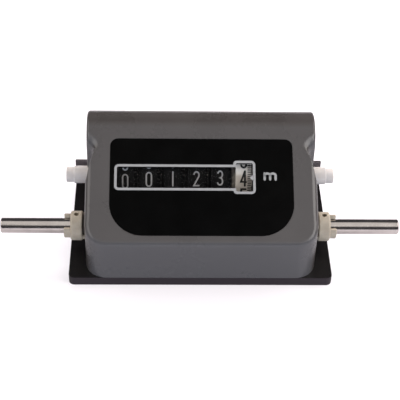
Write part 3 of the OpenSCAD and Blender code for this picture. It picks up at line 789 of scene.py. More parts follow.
class Tree:
    """A Geometry Nodes tree with named inputs."""

    def __init__(self, name: str) -> None:
        """Starts a tree that takes and gives geometry.

        Args:
            name: The tree's name.
        """
        self.group = bpy.data.node_groups.new(name, "GeometryNodeTree")
        face, kind = self.group.interface, "NodeSocketGeometry"
        for way in ("INPUT", "OUTPUT"):
            face.new_socket("Geometry", in_out=way, socket_type=kind)
        self.start = self.group.nodes.new("NodeGroupInput")
        self.end = self.group.nodes.new("NodeGroupOutput")
        self.keys: dict[str, str] = {}

    def size(self, name: str, kind: str = "NodeSocketFloat") -> bpy.types.NodeSocket:
        """Adds a named input and returns its socket inside the tree.

        Args:
            name: The input's name.
            kind: The type name of its socket.

        Returns:
            The socket.
        """
        made = self.group.interface.new_socket(name, in_out="INPUT", socket_type=kind)
        self.keys[name] = made.identifier
        return self.start.outputs[name]

    def add(self, kind: str, settings: dict | None = None, inputs: dict | None = None,
            output: int | str = 0) -> bpy.types.NodeSocket:
        """Adds one node and returns an output."""
        return add_node(self.group, kind, settings or {}, inputs or {}).outputs[output]

    def close(self, geometry: bpy.types.NodeSocket, material: bpy.types.Material) -> None:
        """Realizes the instances, sets their material and ends the tree.

        Args:
            geometry: The geometry to give.
            material: Its material.
        """
        real = self.add("GeometryNodeRealizeInstances", {}, {0: geometry})
        named = self.add("GeometryNodeSetMaterial", {}, {"Geometry": real, "Material": material})
        self.group.links.new(named, self.end.inputs[0])

    def run(self, name: str, mesh: bpy.types.Mesh, values: dict) -> bpy.types.Object:
        """Applies the tree to a mesh.

        Args:
            name: The new object's name.
            mesh: The mesh that the tree starts from.
            values: The named inputs' values.

        Returns:
            The object with the tree's result as its plain mesh.
        """
        made = new_object(name, mesh)
        modifier = made.modifiers.new(name, "NODES")
        modifier.node_group = self.group
        for key, value in values.items():
            modifier[self.keys[key]] = value
        bake_modifiers(made)
        return made


# Housing


def round_max(a: np.ndarray, b: np.ndarray, r: float | np.ndarray) -> np.ndarray:
    """Joins two distances so that the edge where both are nought is rounded by r."""
    corner = np.hypot(np.maximum(a + r, 0.0), np.maximum(b + r, 0.0))
    return np.minimum(np.maximum(a, b), -r) + corner


def soft_step(value: np.ndarray, low: float, high: float) -> np.ndarray:
    """0 below low, 1 above high and a smooth step between."""
    t = np.clip((value - low) / (high - low), 0.0, 1.0)
    return t * t * (3 - 2 * t)


def blend(first: float | np.ndarray, second: float, share: np.ndarray) -> np.ndarray:
    """From the first value to the second by that share."""
    return first + (second - first) * share


def tangent_corner(y: np.ndarray, z: np.ndarray, centre: Point2, r: float,
                   normals: tuple[float, float]) -> np.ndarray:
    """Distance to two lines that a circle rounds where they meet.

    Args:
        y: First coordinate.
        z: Second coordinate.
        centre: The circle's centre.
        r: The circle's radius.
        normals: Directions of the two lines' outward normals, in order.

    Returns:
        The distance, negative inside.
    """
    dy, dz = y - centre[0], z - centre[1]
    a0, a1 = normals
    d0 = dy * math.cos(a0) + dz * math.sin(a0) - r
    d1 = dy * math.cos(a1) + dz * math.sin(a1) - r
    past0 = dz * math.cos(a0) - dy * math.sin(a0)
    past1 = dy * math.sin(a1) - dz * math.cos(a1)
    return np.where((past0 > 0) & (past1 > 0), np.hypot(dy, dz) - r, np.maximum(d0, d1))


def rounded_box(a: np.ndarray, b: np.ndarray, half: Point2, r: float | np.ndarray) -> np.ndarray:
    """Distance to a rectangle about the origin with rounded corners."""
    return round_max(np.abs(a) - half[0], np.abs(b) - half[1], r)


@dataclass(frozen=True)
class Housing:
    """The moulded grey housing as one smooth shell, with its recess, scoops and holes.

    Sizes are in millimetres. A name that ends in _r is a radius, one in _y a place or a stretch
    along Y, and one in _fade the stretch over which one rounding gives way to the next.

    Attributes:
        crest_r: Rounding of the crest.
        front_r: Rounding of the upright corners at the front.
        edge_r: Rounding of the slope's side edges, which fades to crease_r at the crease, to
            upper_r behind the scoops and to foot_r lower down the walls.
        edge_fade: Stretch from the crease backwards.
        upper_fade: Stretch along Y.
        foot_fade: Stretch below the slope.
        rim_r: Rounding of the scoops' edge at the front, which grows to brow_r at the back.
        brow_fade: Stretch along Y.
        scoop_at: X and Y of the centre of the scoop's deepest curve.
        scoop_back: Y and X of the direction that points out of the scoop at its back wall.
        scoop_ramp: Y and X of the direction that points out of the scoop at its front ramp.
        bowl_ahead: How far the scoop's middle stands ahead of the stub's axis.
        step: Size of a cell when the shell is meshed.
    """

    wall: float = 2.5
    crest_r: float = 11.5
    front_r: float = 9.5
    crease_r: float = 1.2
    edge_r: float = 3.0
    edge_fade: Point2 = (0.0, 12.0)
    upper_r: float = 1.3
    upper_fade: Point2 = (-1.0, 5.0)
    foot_r: float = 0.4
    foot_fade: Point2 = (2.0, 4.5)
    rim_r: float = 0.5
    brow_r: float = 3.4
    brow_fade: Point2 = (1.5, 6.5)
    lip_r: float = 0.3
    bore_lip_r: float = 0.25
    panel_gap: float = 0.1
    recess: float = 1.4
    opening_x: float = -7.25
    opening_half: Point2 = (32.25, 8.65)
    opening_depth: float = 10.0
    scoop_at: Point2 = (52.1, 3.2)
    scoop_r: float = 4.0
    scoop_back: Point2 = (0.84, -0.542)
    scoop_ramp: Point2 = (-4.0, -9.9)
    bowl_ahead: float = 5.5
    bowl_half: float = 8.0
    bowl_r: float = 7.0
    bush_bore: float = 5.4
    stub_bore: float = 4.4
    bore_x: float = 44.0
    boss_r: float = 3.2
    boss_y: Point2 = (24.0, 28.5)
    screw_r: float = 1.55
    screw_y: float = 25.0
    step: float = 0.6

    def body(self, x: np.ndarray, y: np.ndarray, z: np.ndarray, scoop: np.ndarray) -> np.ndarray:
        """Distance to the housing's solid outer form, cut by the scoops, without its underside.

        Args:
            x: Places along the shafts.
            y: Places from front to back.
            z: Heights.
            scoop: Distance to the scoops at those places.

        Returns:
            The distance, negative inside.
        """
        lay = LAYOUT
        plan = round_max(np.abs(x) - lay.case_half, -(y - lay.front_y), self.front_r)
        crest_y = lay.back_y - self.crest_r
        rise = (crest_y - lay.front_y) * math.tan(lay.slope) - self.crest_r / math.cos(lay.slope)
        crest = (crest_y, lay.crease_z + rise)
        top = tangent_corner(y, z, crest, self.crest_r, (0.0, math.pi / 2 + lay.slope))
        rim = blend(self.rim_r, self.brow_r, soft_step(y, *self.brow_fade))
        cut = round_max(top, -scoop, rim)
        r = blend(self.crease_r, self.edge_r, soft_step(y - lay.front_y, *self.edge_fade))
        r = blend(r, self.upper_r, soft_step(y, *self.upper_fade))
        return round_max(plan, cut, blend(r, self.foot_r, soft_step(-top, *self.foot_fade)))

    def scoop(self, x: np.ndarray, y: np.ndarray, z: np.ndarray) -> np.ndarray:
        """Distance to the thumb scoops above the two stubs.

        Args:
            x: Places along the shafts.
            y: Places from front to back.
            z: Heights.

        Returns:
            The distance, negative inside the scoops.
        """
        lay = LAYOUT
        normals = (math.atan2(*self.scoop_back), math.atan2(*self.scoop_ramp) + 2 * math.pi)
        wedge = tangent_corner(np.abs(x), y, self.scoop_at, self.scoop_r, normals)
        across = np.abs(y - lay.axis_y + self.bowl_ahead) - self.bowl_half
        return np.maximum(wedge, round_max(across, lay.axis_z - self.bowl_half - z, self.bowl_r))

    def field(self, x: np.ndarray, v: np.ndarray, w: np.ndarray) -> np.ndarray:
        """Distance to the finished shell, for a point given on the sloping face.

        Args:
            x: Along the shafts.
            v: Up the slope from the crease.
            w: Out of the face.

        Returns:
            The distance in millimetres, negative inside the plastic.
        """
        lay = LAYOUT
        y, z = lay.face_yz(v, w)
        scoop = self.scoop(x, y, z)
        shell = np.maximum(self.body(x, y, z, scoop), lay.base_t - z)
        whole = self.body(x, y, z, np.full_like(scoop, 99.0))
        hollow = np.maximum(whole + self.wall, self.wall - scoop)
        shell = round_max(shell, -hollow, self.lip_r)
        from_screw = np.hypot(np.abs(x) - lay.screw_x, z - lay.screw_z)
        boss = np.maximum(from_screw - self.boss_r, self.boss_y[0] - y)
        shell = np.minimum(shell, np.maximum(boss, y - self.boss_y[1]))
        recess = np.maximum(self.panel_outline(x, v) - self.panel_gap, -(w + self.recess))
        shell = round_max(shell, -recess, self.lip_r)
        opening = rounded_box(x - self.opening_x, v - lay.window_v, self.opening_half, 1.0)
        shell = np.maximum(shell, -np.maximum(opening, -w - self.opening_depth))
        for y_hole, z_hole, r in ((lay.shaft_y, lay.shaft_z, self.bush_bore),
                                  (lay.axis_y, lay.axis_z, self.stub_bore)):
            bore = np.maximum(np.hypot(y - y_hole, z - z_hole) - r, self.bore_x - np.abs(x))
            shell = round_max(shell, -bore, self.bore_lip_r)
        return np.maximum(shell, -np.maximum(from_screw - self.screw_r, self.screw_y - y))

    def panel_outline(self, x: np.ndarray, v: np.ndarray) -> np.ndarray:
        """Distance to the panel's outline on the face.

        Args:
            x: Places along the shafts.
            v: Places up the slope.

        Returns:
            The distance, negative inside.
        """
        lay = LAYOUT
        middle = lay.panel_low + lay.panel_h / 2
        r = np.where(v < middle, lay.panel_low_r, lay.panel_top_r)
        return rounded_box(x, v - middle, (lay.panel_half, lay.panel_h / 2), r)

    def build(self) -> None:
        """Meshes the shell and dresses it."""
        verts, quads = contour(self.field, (-53.0, -12.0, -52.5), (53.0, 71.0, 2.0), self.step)
        placed = np.stack([verts[:, 0], *LAYOUT.face_yz(verts[:, 1], verts[:, 2])], 1)
        mesh = bpy.data.meshes.new("housing_shell")
        mesh.from_pydata((placed * MM).tolist(), [], quads.tolist())
        build = bmesh.new()
        build.from_mesh(mesh)
        flattened(build, 0.35)
        bmesh.ops.recalc_face_normals(build, faces=build.faces)
        shell = new_object("housing_shell", written(build, mesh))
        soften(shell, 0.0)
        dress(shell, MOULDED, "frame", "housing")


def contour(field: Callable[..., np.ndarray], low: Sequence[float], high: Sequence[float],
            step: float) -> tuple[np.ndarray, np.ndarray]:
    """Meshes the surface where a distance field is nought, and keeps its sharp edges.

    Args:
        field: The field, negative inside.
        low: Lowest corner of the box to mesh.
        high: Highest corner of that box.
        step: Size of a cell.

    Returns:
        The vertices and the four-sided faces.
    """
    halvings, steadiness, slack = 9, 0.02, 0.05
    axes = [np.arange(low[k], high[k] + step, step) for k in range(3)]
    count = [len(a) for a in axes]
    values = np.empty(count)
    for i, x in enumerate(axes[0]):
        values[i] = field(np.full((1, 1), x), axes[1][:, None], axes[2][None, :])
    inside = values < 0
    cell_shape = [c - 1 for c in count]
    cells: list[np.ndarray] = []
    points: list[np.ndarray] = []
    corners: list[np.ndarray] = []
    for axis in range(3):
        first = np.take(inside, range(count[axis] - 1), axis)
        second = np.take(inside, range(1, count[axis]), axis)
        at = np.argwhere(first != second)
        others = [k for k in range(3) if k != axis]
        keep = np.all([(at[:, k] > 0) & (at[:, k] < count[k] - 1) for k in others], axis=0)
        at = at[keep]
        start = np.stack([axes[k][at[:, k]] for k in range(3)], 1)
        begins_inside = inside[at[:, 0], at[:, 1], at[:, 2]]
        near, far = np.zeros(len(at)), np.full(len(at), step)
        for _ in range(halvings):
            middle = (near + far) / 2
            probe = start.copy()
            probe[:, axis] += middle
            same = (field(*probe.T) < 0) == begins_inside
            near, far = np.where(same, middle, near), np.where(same, far, middle)
        start[:, axis] += (near + far) / 2
        around = []
        for da, db in ((-1, -1), (0, -1), (0, 0), (-1, 0)):
            cell = at.copy()
            cell[:, others[0]] += da
            cell[:, others[1]] += db
            around.append(np.ravel_multi_index(cell.T, cell_shape))
        ring = np.stack(around, 1)
        flip = begins_inside if axis != 1 else ~begins_inside
        ring[~flip] = ring[~flip][:, ::-1]
        corners.append(ring)
        cells.append(ring.ravel())
        points.append(np.repeat(start, 4, axis=0))
    every, place = np.concatenate(cells), np.concatenate(points)
    known, index = np.unique(every, return_inverse=True)
    normal = gradient(field, place[::4])
    normal = np.repeat(normal, 4, axis=0)
    total = np.bincount(index).astype(float)
    mass = np.stack([np.bincount(index, place[:, k]) for k in range(3)], 1) / total[:, None]
    offset = np.einsum("ij,ij->i", normal, place - mass[index])
    matrix = np.empty((len(known), 3, 3))
    for i in range(3):
        for j in range(3):
            matrix[:, i, j] = np.bincount(index, normal[:, i] * normal[:, j])
    side = np.stack([np.bincount(index, normal[:, k] * offset) for k in range(3)], 1)
    matrix += np.eye(3) * (steadiness * total)[:, None, None]
    solved = mass + np.linalg.solve(matrix, side[:, :, None])[:, :, 0]
    cell = np.stack(np.unravel_index(known, cell_shape), 1)
    floor = np.array(low) + cell * step
    verts = np.clip(solved, floor - slack * step, floor + (1 + slack) * step)
    quads = np.searchsorted(known, np.concatenate(corners))
    return verts, quads


def gradient(field: Callable[..., np.ndarray], at: np.ndarray) -> np.ndarray:
    """Unit normals of a field at the given points.

    Args:
        field: The field.
        at: The points, one to a row.

    Returns:
        The normals, one to a row.
    """
    reach = 0.01
    made = np.empty_like(at)
    for k in range(3):
        ahead, behind = at.copy(), at.copy()
        ahead[:, k] += reach
        behind[:, k] -= reach
        made[:, k] = field(*ahead.T) - field(*behind.T)
    return made / np.maximum(np.linalg.norm(made, axis=1, keepdims=True), 1e-9)


# Front panel


@dataclass(frozen=True)
class FrontPanel:
    """The black panel with its window, the printed line round it and the unit mark.

    Sizes are in millimetres on the sloping face. The window is a long box from x0 to units_x0
    and a higher box from there to units_x1, which stands units_shift higher up the slope.
    """

    proud: float = 0.2
    thick: float = 1.6
    lens_thick: float = 1.15
    lens_sunk: float = 0.05
    x0: float = -37.5
    units_x0: float = 15.2
    units_x1: float = 22.75
    half_h: float = 4.95
    units_half_h: float = 6.65
    units_shift: float = 0.2
    line_w: float = 1.12
    line_t: float = 0.1
    pointer: float = 1.55
    mark_at: Point2 = (30.35, 31.4)
    mark_size: Point2 = (5.9, 3.9)
    mark_stroke: float = 1.05

    def window(self, grow: float) -> list[Point2]:
        """The window's outline, grown on all sides.

        Args:
            grow: How far it is grown, in millimetres.

        Returns:
            The outline, as distances along the shafts and up the slope.
        """
        v, h = LAYOUT.window_v, self.half_h + grow
        x0, x1, x2 = self.x0 - grow, self.units_x0 - grow, self.units_x1 + grow
        low = v + self.units_shift - self.units_half_h - grow
        high = v + self.units_shift + self.units_half_h + grow
        points = [(x0, v - h), (x1, v - h), (x1, low), (x2, low),
                  (x2, high), (x1, high), (x1, v + h), (x0, v + h)]
        r, step_r, inner_r = 0.8 + grow, min(0.8 + grow, 1.4), 0.35
        return fillet(points, [r, inner_r, step_r, r, r, step_r, inner_r, r], 8)

    def outline(self) -> list[Point2]:
        """The panel's outline, with large lower corners.

        Returns:
            The outline, as distances along the shafts and up the slope.
        """
        lay, w = LAYOUT, LAYOUT.panel_half
        low, top = lay.panel_low, lay.panel_low + lay.panel_h
        radii = [lay.panel_low_r, lay.panel_low_r, lay.panel_top_r, lay.panel_top_r]
        return fillet([(-w, low), (w, low), (w, top), (-w, top)], radii, 16)

    def build(self) -> None:
        """Builds the panel, the lens and the prints."""
        face, proud = LAYOUT.on_face, self.proud
        loops = [self.outline(), self.window(0.0)]
        panel = prism("black_panel", loops, face, proud - self.thick, proud)
        soften(panel, 0.3, 3)
        dress(panel, GLOSS_BLACK, "frame", "front_panel")
        top, loops = proud - self.lens_sunk, [self.window(-0.02)]
        lens = prism("clear_window", loops, face, top - self.lens_thick, top)
        soften(lens, 0.1, 2)
        dress(lens, CLEAR, "frame", "window_lens")
        v, px, size = LAYOUT.window_v, self.units_x1, self.pointer
        corners = [(px + 0.2, v - size), (px + 0.2, v + size), (px - size, v)]
        tip = fillet(corners, [0.1, 0.1, 0.2], 3)
        loops = [self.window(self.line_w), self.window(0.0)]
        line = prism("window_line", loops, face, proud, proud + self.line_t)
        pointer = prism("pointer", [tip], face, proud, proud + self.line_t)
        prints = joined("window_print", [line, pointer])
        soften(prints, 0.03, 1)
        dress(prints, PRINTED, "frame", "window_outline")
        x, up = self.mark_at

        def place(a: float, b: float, h: float) -> Vector:
            """A drawing's point and height on the panel."""
            return face(x + a, up + b, proud - 0.02 + h)

        pen = Figures(self.mark_stroke, place, self.line_t)
        dress(pen.draw("unit_mark", "m", *self.mark_size), PRINTED, "frame")


# Figures


def arc(cx: float, cy: float, rx: float, ry: float, a0: float, a1: float,
        steps: int = 14) -> list[Point2]:
    """Points of an elliptic arc between two angles in degrees."""
    angles = [math.radians(a0 + (a1 - a0) * k / steps) for k in range(steps + 1)]
    return [(cx + rx * math.cos(a), cy + ry * math.sin(a)) for a in angles]


# Runs of a stroke in millimetres: shorter ones are dropped, longer ones split
SHORTEST_RUN, LONGEST_RUN = 0.02, 0.45

# Centre lines of the figures in a box from -0.5 to 0.5 each way, and whether each line is closed
FIGURE_LINES: dict[str, list[tuple[list[Point2], bool]]] = {
    "0": [(arc(0.0, 0.28, 0.5, 0.22, 0, 180) + arc(0.0, -0.28, 0.5, 0.22, 180, 360), True)],
    "1": [([(0.0, -0.5), (0.0, 0.5)], False)],
    "2": [(arc(0.0, 0.27, 0.5, 0.23, 165, -25) + [(-0.5, -0.5), (0.5, -0.5)], False)],
    "3": [(arc(0.0, 0.26, 0.46, 0.24, 155, -90) + arc(0.0, -0.24, 0.5, 0.26, 90, -155), False)],
    "4": [([(0.22, 0.5), (-0.5, -0.22), (0.5, -0.22)], False),
          ([(0.24, 0.5), (0.24, -0.5)], False)],
    "5": [([(0.42, 0.5), (-0.4, 0.5), (-0.44, 0.08)] + arc(0.0, -0.2, 0.5, 0.3, 125, -155), False)],
    "6": [(arc(0.0, 0.24, 0.5, 0.26, 35, 180) + arc(0.0, -0.24, 0.5, 0.26, 180, 520, 22), False)],
    "7": [([(-0.5, 0.5), (0.5, 0.5), (-0.12, -0.5)], False)],
    "8": [(arc(0.0, 0.26, 0.44, 0.24, -90, 270, 24), True),
          (arc(0.0, -0.24, 0.5, 0.26, 90, 450, 24), True)],
    "9": [(arc(0.0, -0.24, 0.5, 0.26, 215, 360) + arc(0.0, 0.24, 0.5, 0.26, 0, 340, 22), False)],
    "m": [([(-0.5, -0.5), (-0.5, 0.5)], False),
          ([(-0.5, 0.15)] + arc(-0.25, 0.18, 0.25, 0.3, 165, 0, 9) + [(0.0, -0.5)], False),
          ([(0.0, 0.15)] + arc(0.25, 0.18, 0.25, 0.3, 165, 0, 9) + [(0.5, -0.5)], False)],
}


@dataclass(frozen=True)
class Figures:
    """Draws figures as rounded strokes on a surface."""

    stroke: float
    place: Place
    thick: float

    def draw(self, name: str, figure: str, width: float, height: float) -> bpy.types.Object:
        """Draws one figure.

        Args:
            name: The object's name.
            figure: The figure to draw.
            width: Its width over the strokes.
            height: Its height over the strokes.

        Returns:
            The figure as a thin raised mesh.
        """
        build = bmesh.new()
        self.into(build, figure, width, height, 0.0, 0.0)
        return new_object(name, mesh_of(build, name))

    def into(self, build: bmesh.types.BMesh, figure: str, width: float, height: float,
             a: float, b: float) -> None:
        """Adds one figure to a bmesh, with its middle at (a, b).

        Args:
            build: The bmesh.
            figure: The figure to draw.
            width: Its width over the strokes.
            height: Its height over the strokes.
            a: Place of its middle across the drawing.
            b: Place of its middle up the drawing.
        """
        wide, high = width - self.stroke, height - self.stroke
        for line, closed in FIGURE_LINES[figure]:
            scaled = [(a + x * wide, b + y * high) for x, y in line]
            self._stroke(build, self._even(scaled, closed), closed)

    def _even(self, line: Sequence[Point2], closed: bool) -> list[Vector]:
        """Splits long runs so that they follow a curved surface, and drops doubles.

        Args:
            line: The centre line's points.
            closed: Whether the line is closed.

        Returns:
            The evened points.
        """
        points = [Vector(p) for p in line] + ([Vector(line[0])] if closed else [])
        made = [points[0]]
        for point in points[1:]:
            run = point - made[-1]
            if run.length < SHORTEST_RUN:
                continue
            steps = max(1, math.ceil(run.length / LONGEST_RUN))
            start = made[-1]
            made += [start + run * (k / steps) for k in range(1, steps + 1)]
        if closed and (made[-1] - made[0]).length < 0.05:
            made.pop()
        return made

    def _stroke(self, build: bmesh.types.BMesh, line: Sequence[Vector], closed: bool) -> None:
        """Adds one stroke with round ends as a thin closed solid.

        Args:
            build: The bmesh.
            line: The stroke's evened centre line.
            closed: Whether the line is closed.
        """
        half, count = self.stroke / 2, len(line)
        rows: list[tuple[Vector, Vector]] = []
        for i, point in enumerate(line):
            before = line[i - 1] if i or closed else point
            after = line[(i + 1) % count] if i < count - 1 or closed else point
            ahead = (after - point if after != point else point - before).normalized()
            behind = (point - before).normalized() if before != point else ahead
            run = (ahead + behind).normalized()
            across = Vector((-run.y, run.x)) * (half / max(0.5, run.dot(ahead)))
            rows.append((point + across, point - across))
        if not closed:
            start, end = self._cap(line[0], line[1], half), self._cap(line[-1], line[-2], half)
            rows = start + rows + end[::-1]
        tops, feet = ([[build.verts.new(self.place(q.x, q.y, h)) for q in row] for row in rows]
                      for h in (self.thick, 0.0))
        total = len(rows)
        for i in range(total if closed else total - 1):
            j = (i + 1) % total
            build.faces.new((tops[i][0], tops[i][1], tops[j][1], tops[j][0]))
            build.faces.new((feet[j][0], feet[j][1], feet[i][1], feet[i][0]))
            build.faces.new((tops[j][0], feet[j][0], feet[i][0], tops[i][0]))
            build.faces.new((tops[i][1], feet[i][1], feet[j][1], tops[j][1]))
        if not closed:
            for i in (0, total - 1):
                build.faces.new((tops[i][0], feet[i][0], feet[i][1], tops[i][1]))

    @staticmethod
    def _cap(end: Vector, beside: Vector, half: float) -> list[tuple[Vector, Vector]]:
        """Rows that round the end of a stroke, from its tip inwards.

        Args:
            end: The line's last point.
            beside: The point before it.
            half: Half the stroke's width.

        Returns:
            Pairs of points on the stroke's two edges.
        """
        out = (end - beside).normalized()
        side = Vector((out.y, -out.x))
        rows = []
        for degrees in (80, 60, 40, 20):
            a = math.radians(degrees)
            middle, reach = end + out * (half * math.sin(a)), side * (half * math.cos(a))
            rows.append((middle + reach, middle - reach))
        return rows


@dataclass(frozen=True)
class NumberWheel:
    """One number wheel with its raised figures, and the scale on the lowest one.

    Attributes:
        index: Place of the wheel, from 0 at the left to 5 at the right.
        shown: The figure that it shows at rest.
        angle: Angle of that figure above the horizontal, in degrees.
        figure_x: How far the figures stand to the right of the wheel's middle.
        sunk: How far the figures reach into the rim.
    """

    index: int
    shown: int
    angle: float
    finish: Finish
    ink: Finish
    figure_w: float
    figure_h: float
    figure_x: float
    stroke: float
    scale: bool = False
    figure_t: float = 0.08
    sunk: float = 0.02
    marks: int = 100
    mark_size: tuple[float, float, float] = (1.85, 0.1, 0.42)
    mark_x: float = 2.65

    def build(self) -> None:
        """Builds the wheel, its ten figures and its scale."""
        node = f"number_wheel_{self.index + 1}"
        wheel = refined(node, self.finish, 0.12, 2)
        body = body_of(node)
        figures = bmesh.new()
        for figure in range(10):
            turn = math.radians(self.angle - 36.0 * ((figure - self.shown + 5) % 10 - 5))
            pen = Figures(self.stroke, self.wrap(turn), self.figure_t)
            pen.into(figures, str(figure), self.figure_w, self.figure_h, self.figure_x, 0.0)
        name = f"wheel_{self.index + 1}_figures"
        dress(new_object(name, mesh_of(figures, name)), self.ink, body)
        if self.scale:
            self.add_scale(body)
        LOG.info("%s shows %d", wheel.name, self.shown)

    def wrap(self, turn: float) -> Place:
        """Maps a drawing to the wheel's rim, with its middle at an angle above the horizontal.

        Args:
            turn: The angle, in radians.

        Returns:
            The map from a drawing's point and a height to a place.
        """
        lay, x0 = LAYOUT, LAYOUT.wheel_x(self.index)

        def place(a: float, b: float, h: float) -> Vector:
            """A drawing's point and height on the rim."""
            at, r = turn + b / lay.wheel_r, lay.wheel_r + h - self.sunk
            return Vector((x0 + a, lay.axis_y - r * math.cos(at), lay.axis_z + r * math.sin(at)))

        return place

    def add_scale(self, body: str) -> None:
        """Adds the scale's marks round the rim.

        Args:
            body: The body that the wheel rides on.
        """
        lay = LAYOUT
        tree = Tree("scale_marks")
        count = tree.size("Count", "NodeSocketInt")
        size = tree.size("Mark size", "NodeSocketVector")
        reach = tree.size("Radius", "NodeSocketVector")
        centre = tree.size("Centre", "NodeSocketVector")
        points = tree.add("GeometryNodePoints", {}, {"Count": count})
        mark = tree.add("GeometryNodeMeshCube", {}, {"Size": size})
        raised = tree.add("GeometryNodeTransform", {}, {"Geometry": mark, "Translation": reach})
        index = tree.add("GeometryNodeInputIndex")
        step = tree.add("ShaderNodeMath", {"operation": "DIVIDE"}, {0: 2 * math.pi, 1: count})
        turn = tree.add("ShaderNodeMath", {"operation": "MULTIPLY"}, {0: index, 1: step})
        spin = tree.add("ShaderNodeCombineXYZ", {}, {"X": turn})
        spread = {"Points": points, "Instance": raised, "Rotation": spin}
        marks = tree.add("GeometryNodeInstanceOnPoints", {}, spread)
        placed = tree.add("GeometryNodeTransform", {}, {"Geometry": marks, "Translation": centre})
        tree.close(placed, self.ink.material())
        values = {
            "Count": self.marks, "Mark size": tuple(side * MM for side in self.mark_size),
            "Radius": (0.0, (lay.wheel_r + 0.01) * MM, 0.0),
            "Centre": ((lay.units_x + self.mark_x) * MM, lay.axis_y * MM, lay.axis_z * MM),
        }
        scale = tree.run("wheel_6_scale", bpy.data.meshes.new("scale_start"), values)
        dress(scale, self.ink, body)


# Shafts, bushes, inner frame and screws


@dataclass(frozen=True)
class DriveShaft:
    """The through shaft with its gear and rings, and the two bushes that carry it.

    Sizes are in millimetres, angles in degrees. Each bush has a barrel in the side plate, a
    flange, two lugs towards the housing and two claws that reach out along the shaft.
    """

    half_l: float = 90.0
    chamfer: float = 0.5
    groove_x0: float = 61.1
    groove_x1: float = 62.6
    groove_d: float = 0.06
    bore_r: float = 3.55
    inner_x: float = 41.5
    flange_r: float = 6.65
    flange_w: float = 5.4
    barrel_r: float = 5.0
    claw_r: float = 5.45
    claw_in_r: float = 3.65
    claw_l: float = 2.9
    claw_angle: float = 19.7
    claw_half: float = 49.3
    lug_half: float = 12.0
    lug_l: float = 1.95
    hole_r: Point2 = (0.8, 1.15)
    hole_l: float = 5.4

    def build(self) -> None:
        """Builds the shaft, its fittings and both bushes."""
        lay, r, end = LAYOUT, LAYOUT.shaft_r, self.half_l
        g0, g1, low, c = self.groove_x0, self.groove_x1, r - self.groove_d, self.chamfer
        half = [(0.0, r), (g0, r), (g0, low), (g1, low), (g1, r), (end - c - 0.1, r),
                (end - c + 0.05, r - 0.06), (end - 0.06, r - c), (end, r - c - 0.1), (end, 0.0)]
        profile = [(-x, q) for x, q in reversed(half)][:-1] + half[1:]
        shaft = lathe("through_shaft", profile, lay.shaft_y, lay.shaft_z, 128)
        soften(shaft, 0.0)
        dress(shaft, GROUND_STEEL, "drive", "drive_shaft")
        refined("drive_gear", CUT_BRASS, 0.06)
        for side in Side:
            refined(f"{side.label}_shaft_ring", BLUED, 0.15)
            self.bush(side)

    def bush(self, side: Side) -> None:
        """Builds one bush: barrel, flange, lugs and claws.

        Args:
            side: The bush's side.
        """
        lay, s = LAYOUT, side.value
        x0, x1 = lay.flange_x, lay.flange_x + self.flange_w
        outline = fillet(
            [(self.inner_x, self.bore_r), (x1, self.bore_r), (x1, self.flange_r),
             (x0, self.flange_r), (x0, self.barrel_r), (self.inner_x, self.barrel_r)],
            [0.15, 0.25, 0.9, 0.7, 0.2, 0.4], 6)
        parts = [lathe("barrel", [(s * x, q) for x, q in outline], lay.shaft_y, lay.shaft_z, 112)]
        claw = self.sector(self.claw_in_r, self.claw_r, self.claw_half, 0.3)
        lug = self.sector(self.barrel_r - 0.5, self.flange_r - 0.35, self.lug_half, 0.2)
        for turn in (180.0, 360.0):
            at = place_on_x(lay.shaft_y, lay.shaft_z, math.radians(turn + self.claw_angle))
            pair = [prism("claw", [claw], at, s * (x1 - 0.5), s * (x1 + self.claw_l)),
                    prism("lug", [lug], at, s * (x0 - self.lug_l), s * (x0 + 0.3))]
            for piece in pair:
                soften(piece, 0.28, 3)
            parts += pair
        made = joined(f"{side.label}_bush_moulding", parts)
        self.drill(made, s * (x0 + self.flange_w / 2))
        soften(made, 0.0)
        dress(made, CREAM, "frame", f"{side.label}_bush")

    def sector(self, r0: float, r1: float, half: float, corner: float) -> list[Point2]:
        """A ring sector's outline about its middle direction, with rounded corners.

        Args:
            r0: Inner radius.
            r1: Outer radius.
            half: Half its angle, in degrees.
            corner: Radius of its corners.

        Returns:
            The outline's points.
        """
        points: list[Point2] = []
        radii: list[float] = []
        for r, start, steps in ((r1, -half, 19), (r0, half, 15)):
            turns = [math.radians(a) for a in np.linspace(start, -start, steps)]
            points += [(r * math.cos(a), r * math.sin(a)) for a in turns]
            radii += [corner] + [0.0] * (steps - 2) + [corner]
        return fillet(points, radii, 4)

    def drill(self, obj: bpy.types.Object, x: float) -> None:
        """Sinks the oil hole into the flange's top.

        Args:
            obj: The bush.
            x: The hole's place along the shaft.
        """
        lay, build = LAYOUT, bmesh.new()
        place = Matrix.Translation((x, lay.shaft_y + 0.5, lay.shaft_z + self.flange_r - 1.9))
        bmesh.ops.create_cone(build, cap_ends=True, segments=32, radius1=self.hole_r[0],
                              radius2=self.hole_r[1], depth=self.hole_l, matrix=place)
        cut_away(obj, build, True)


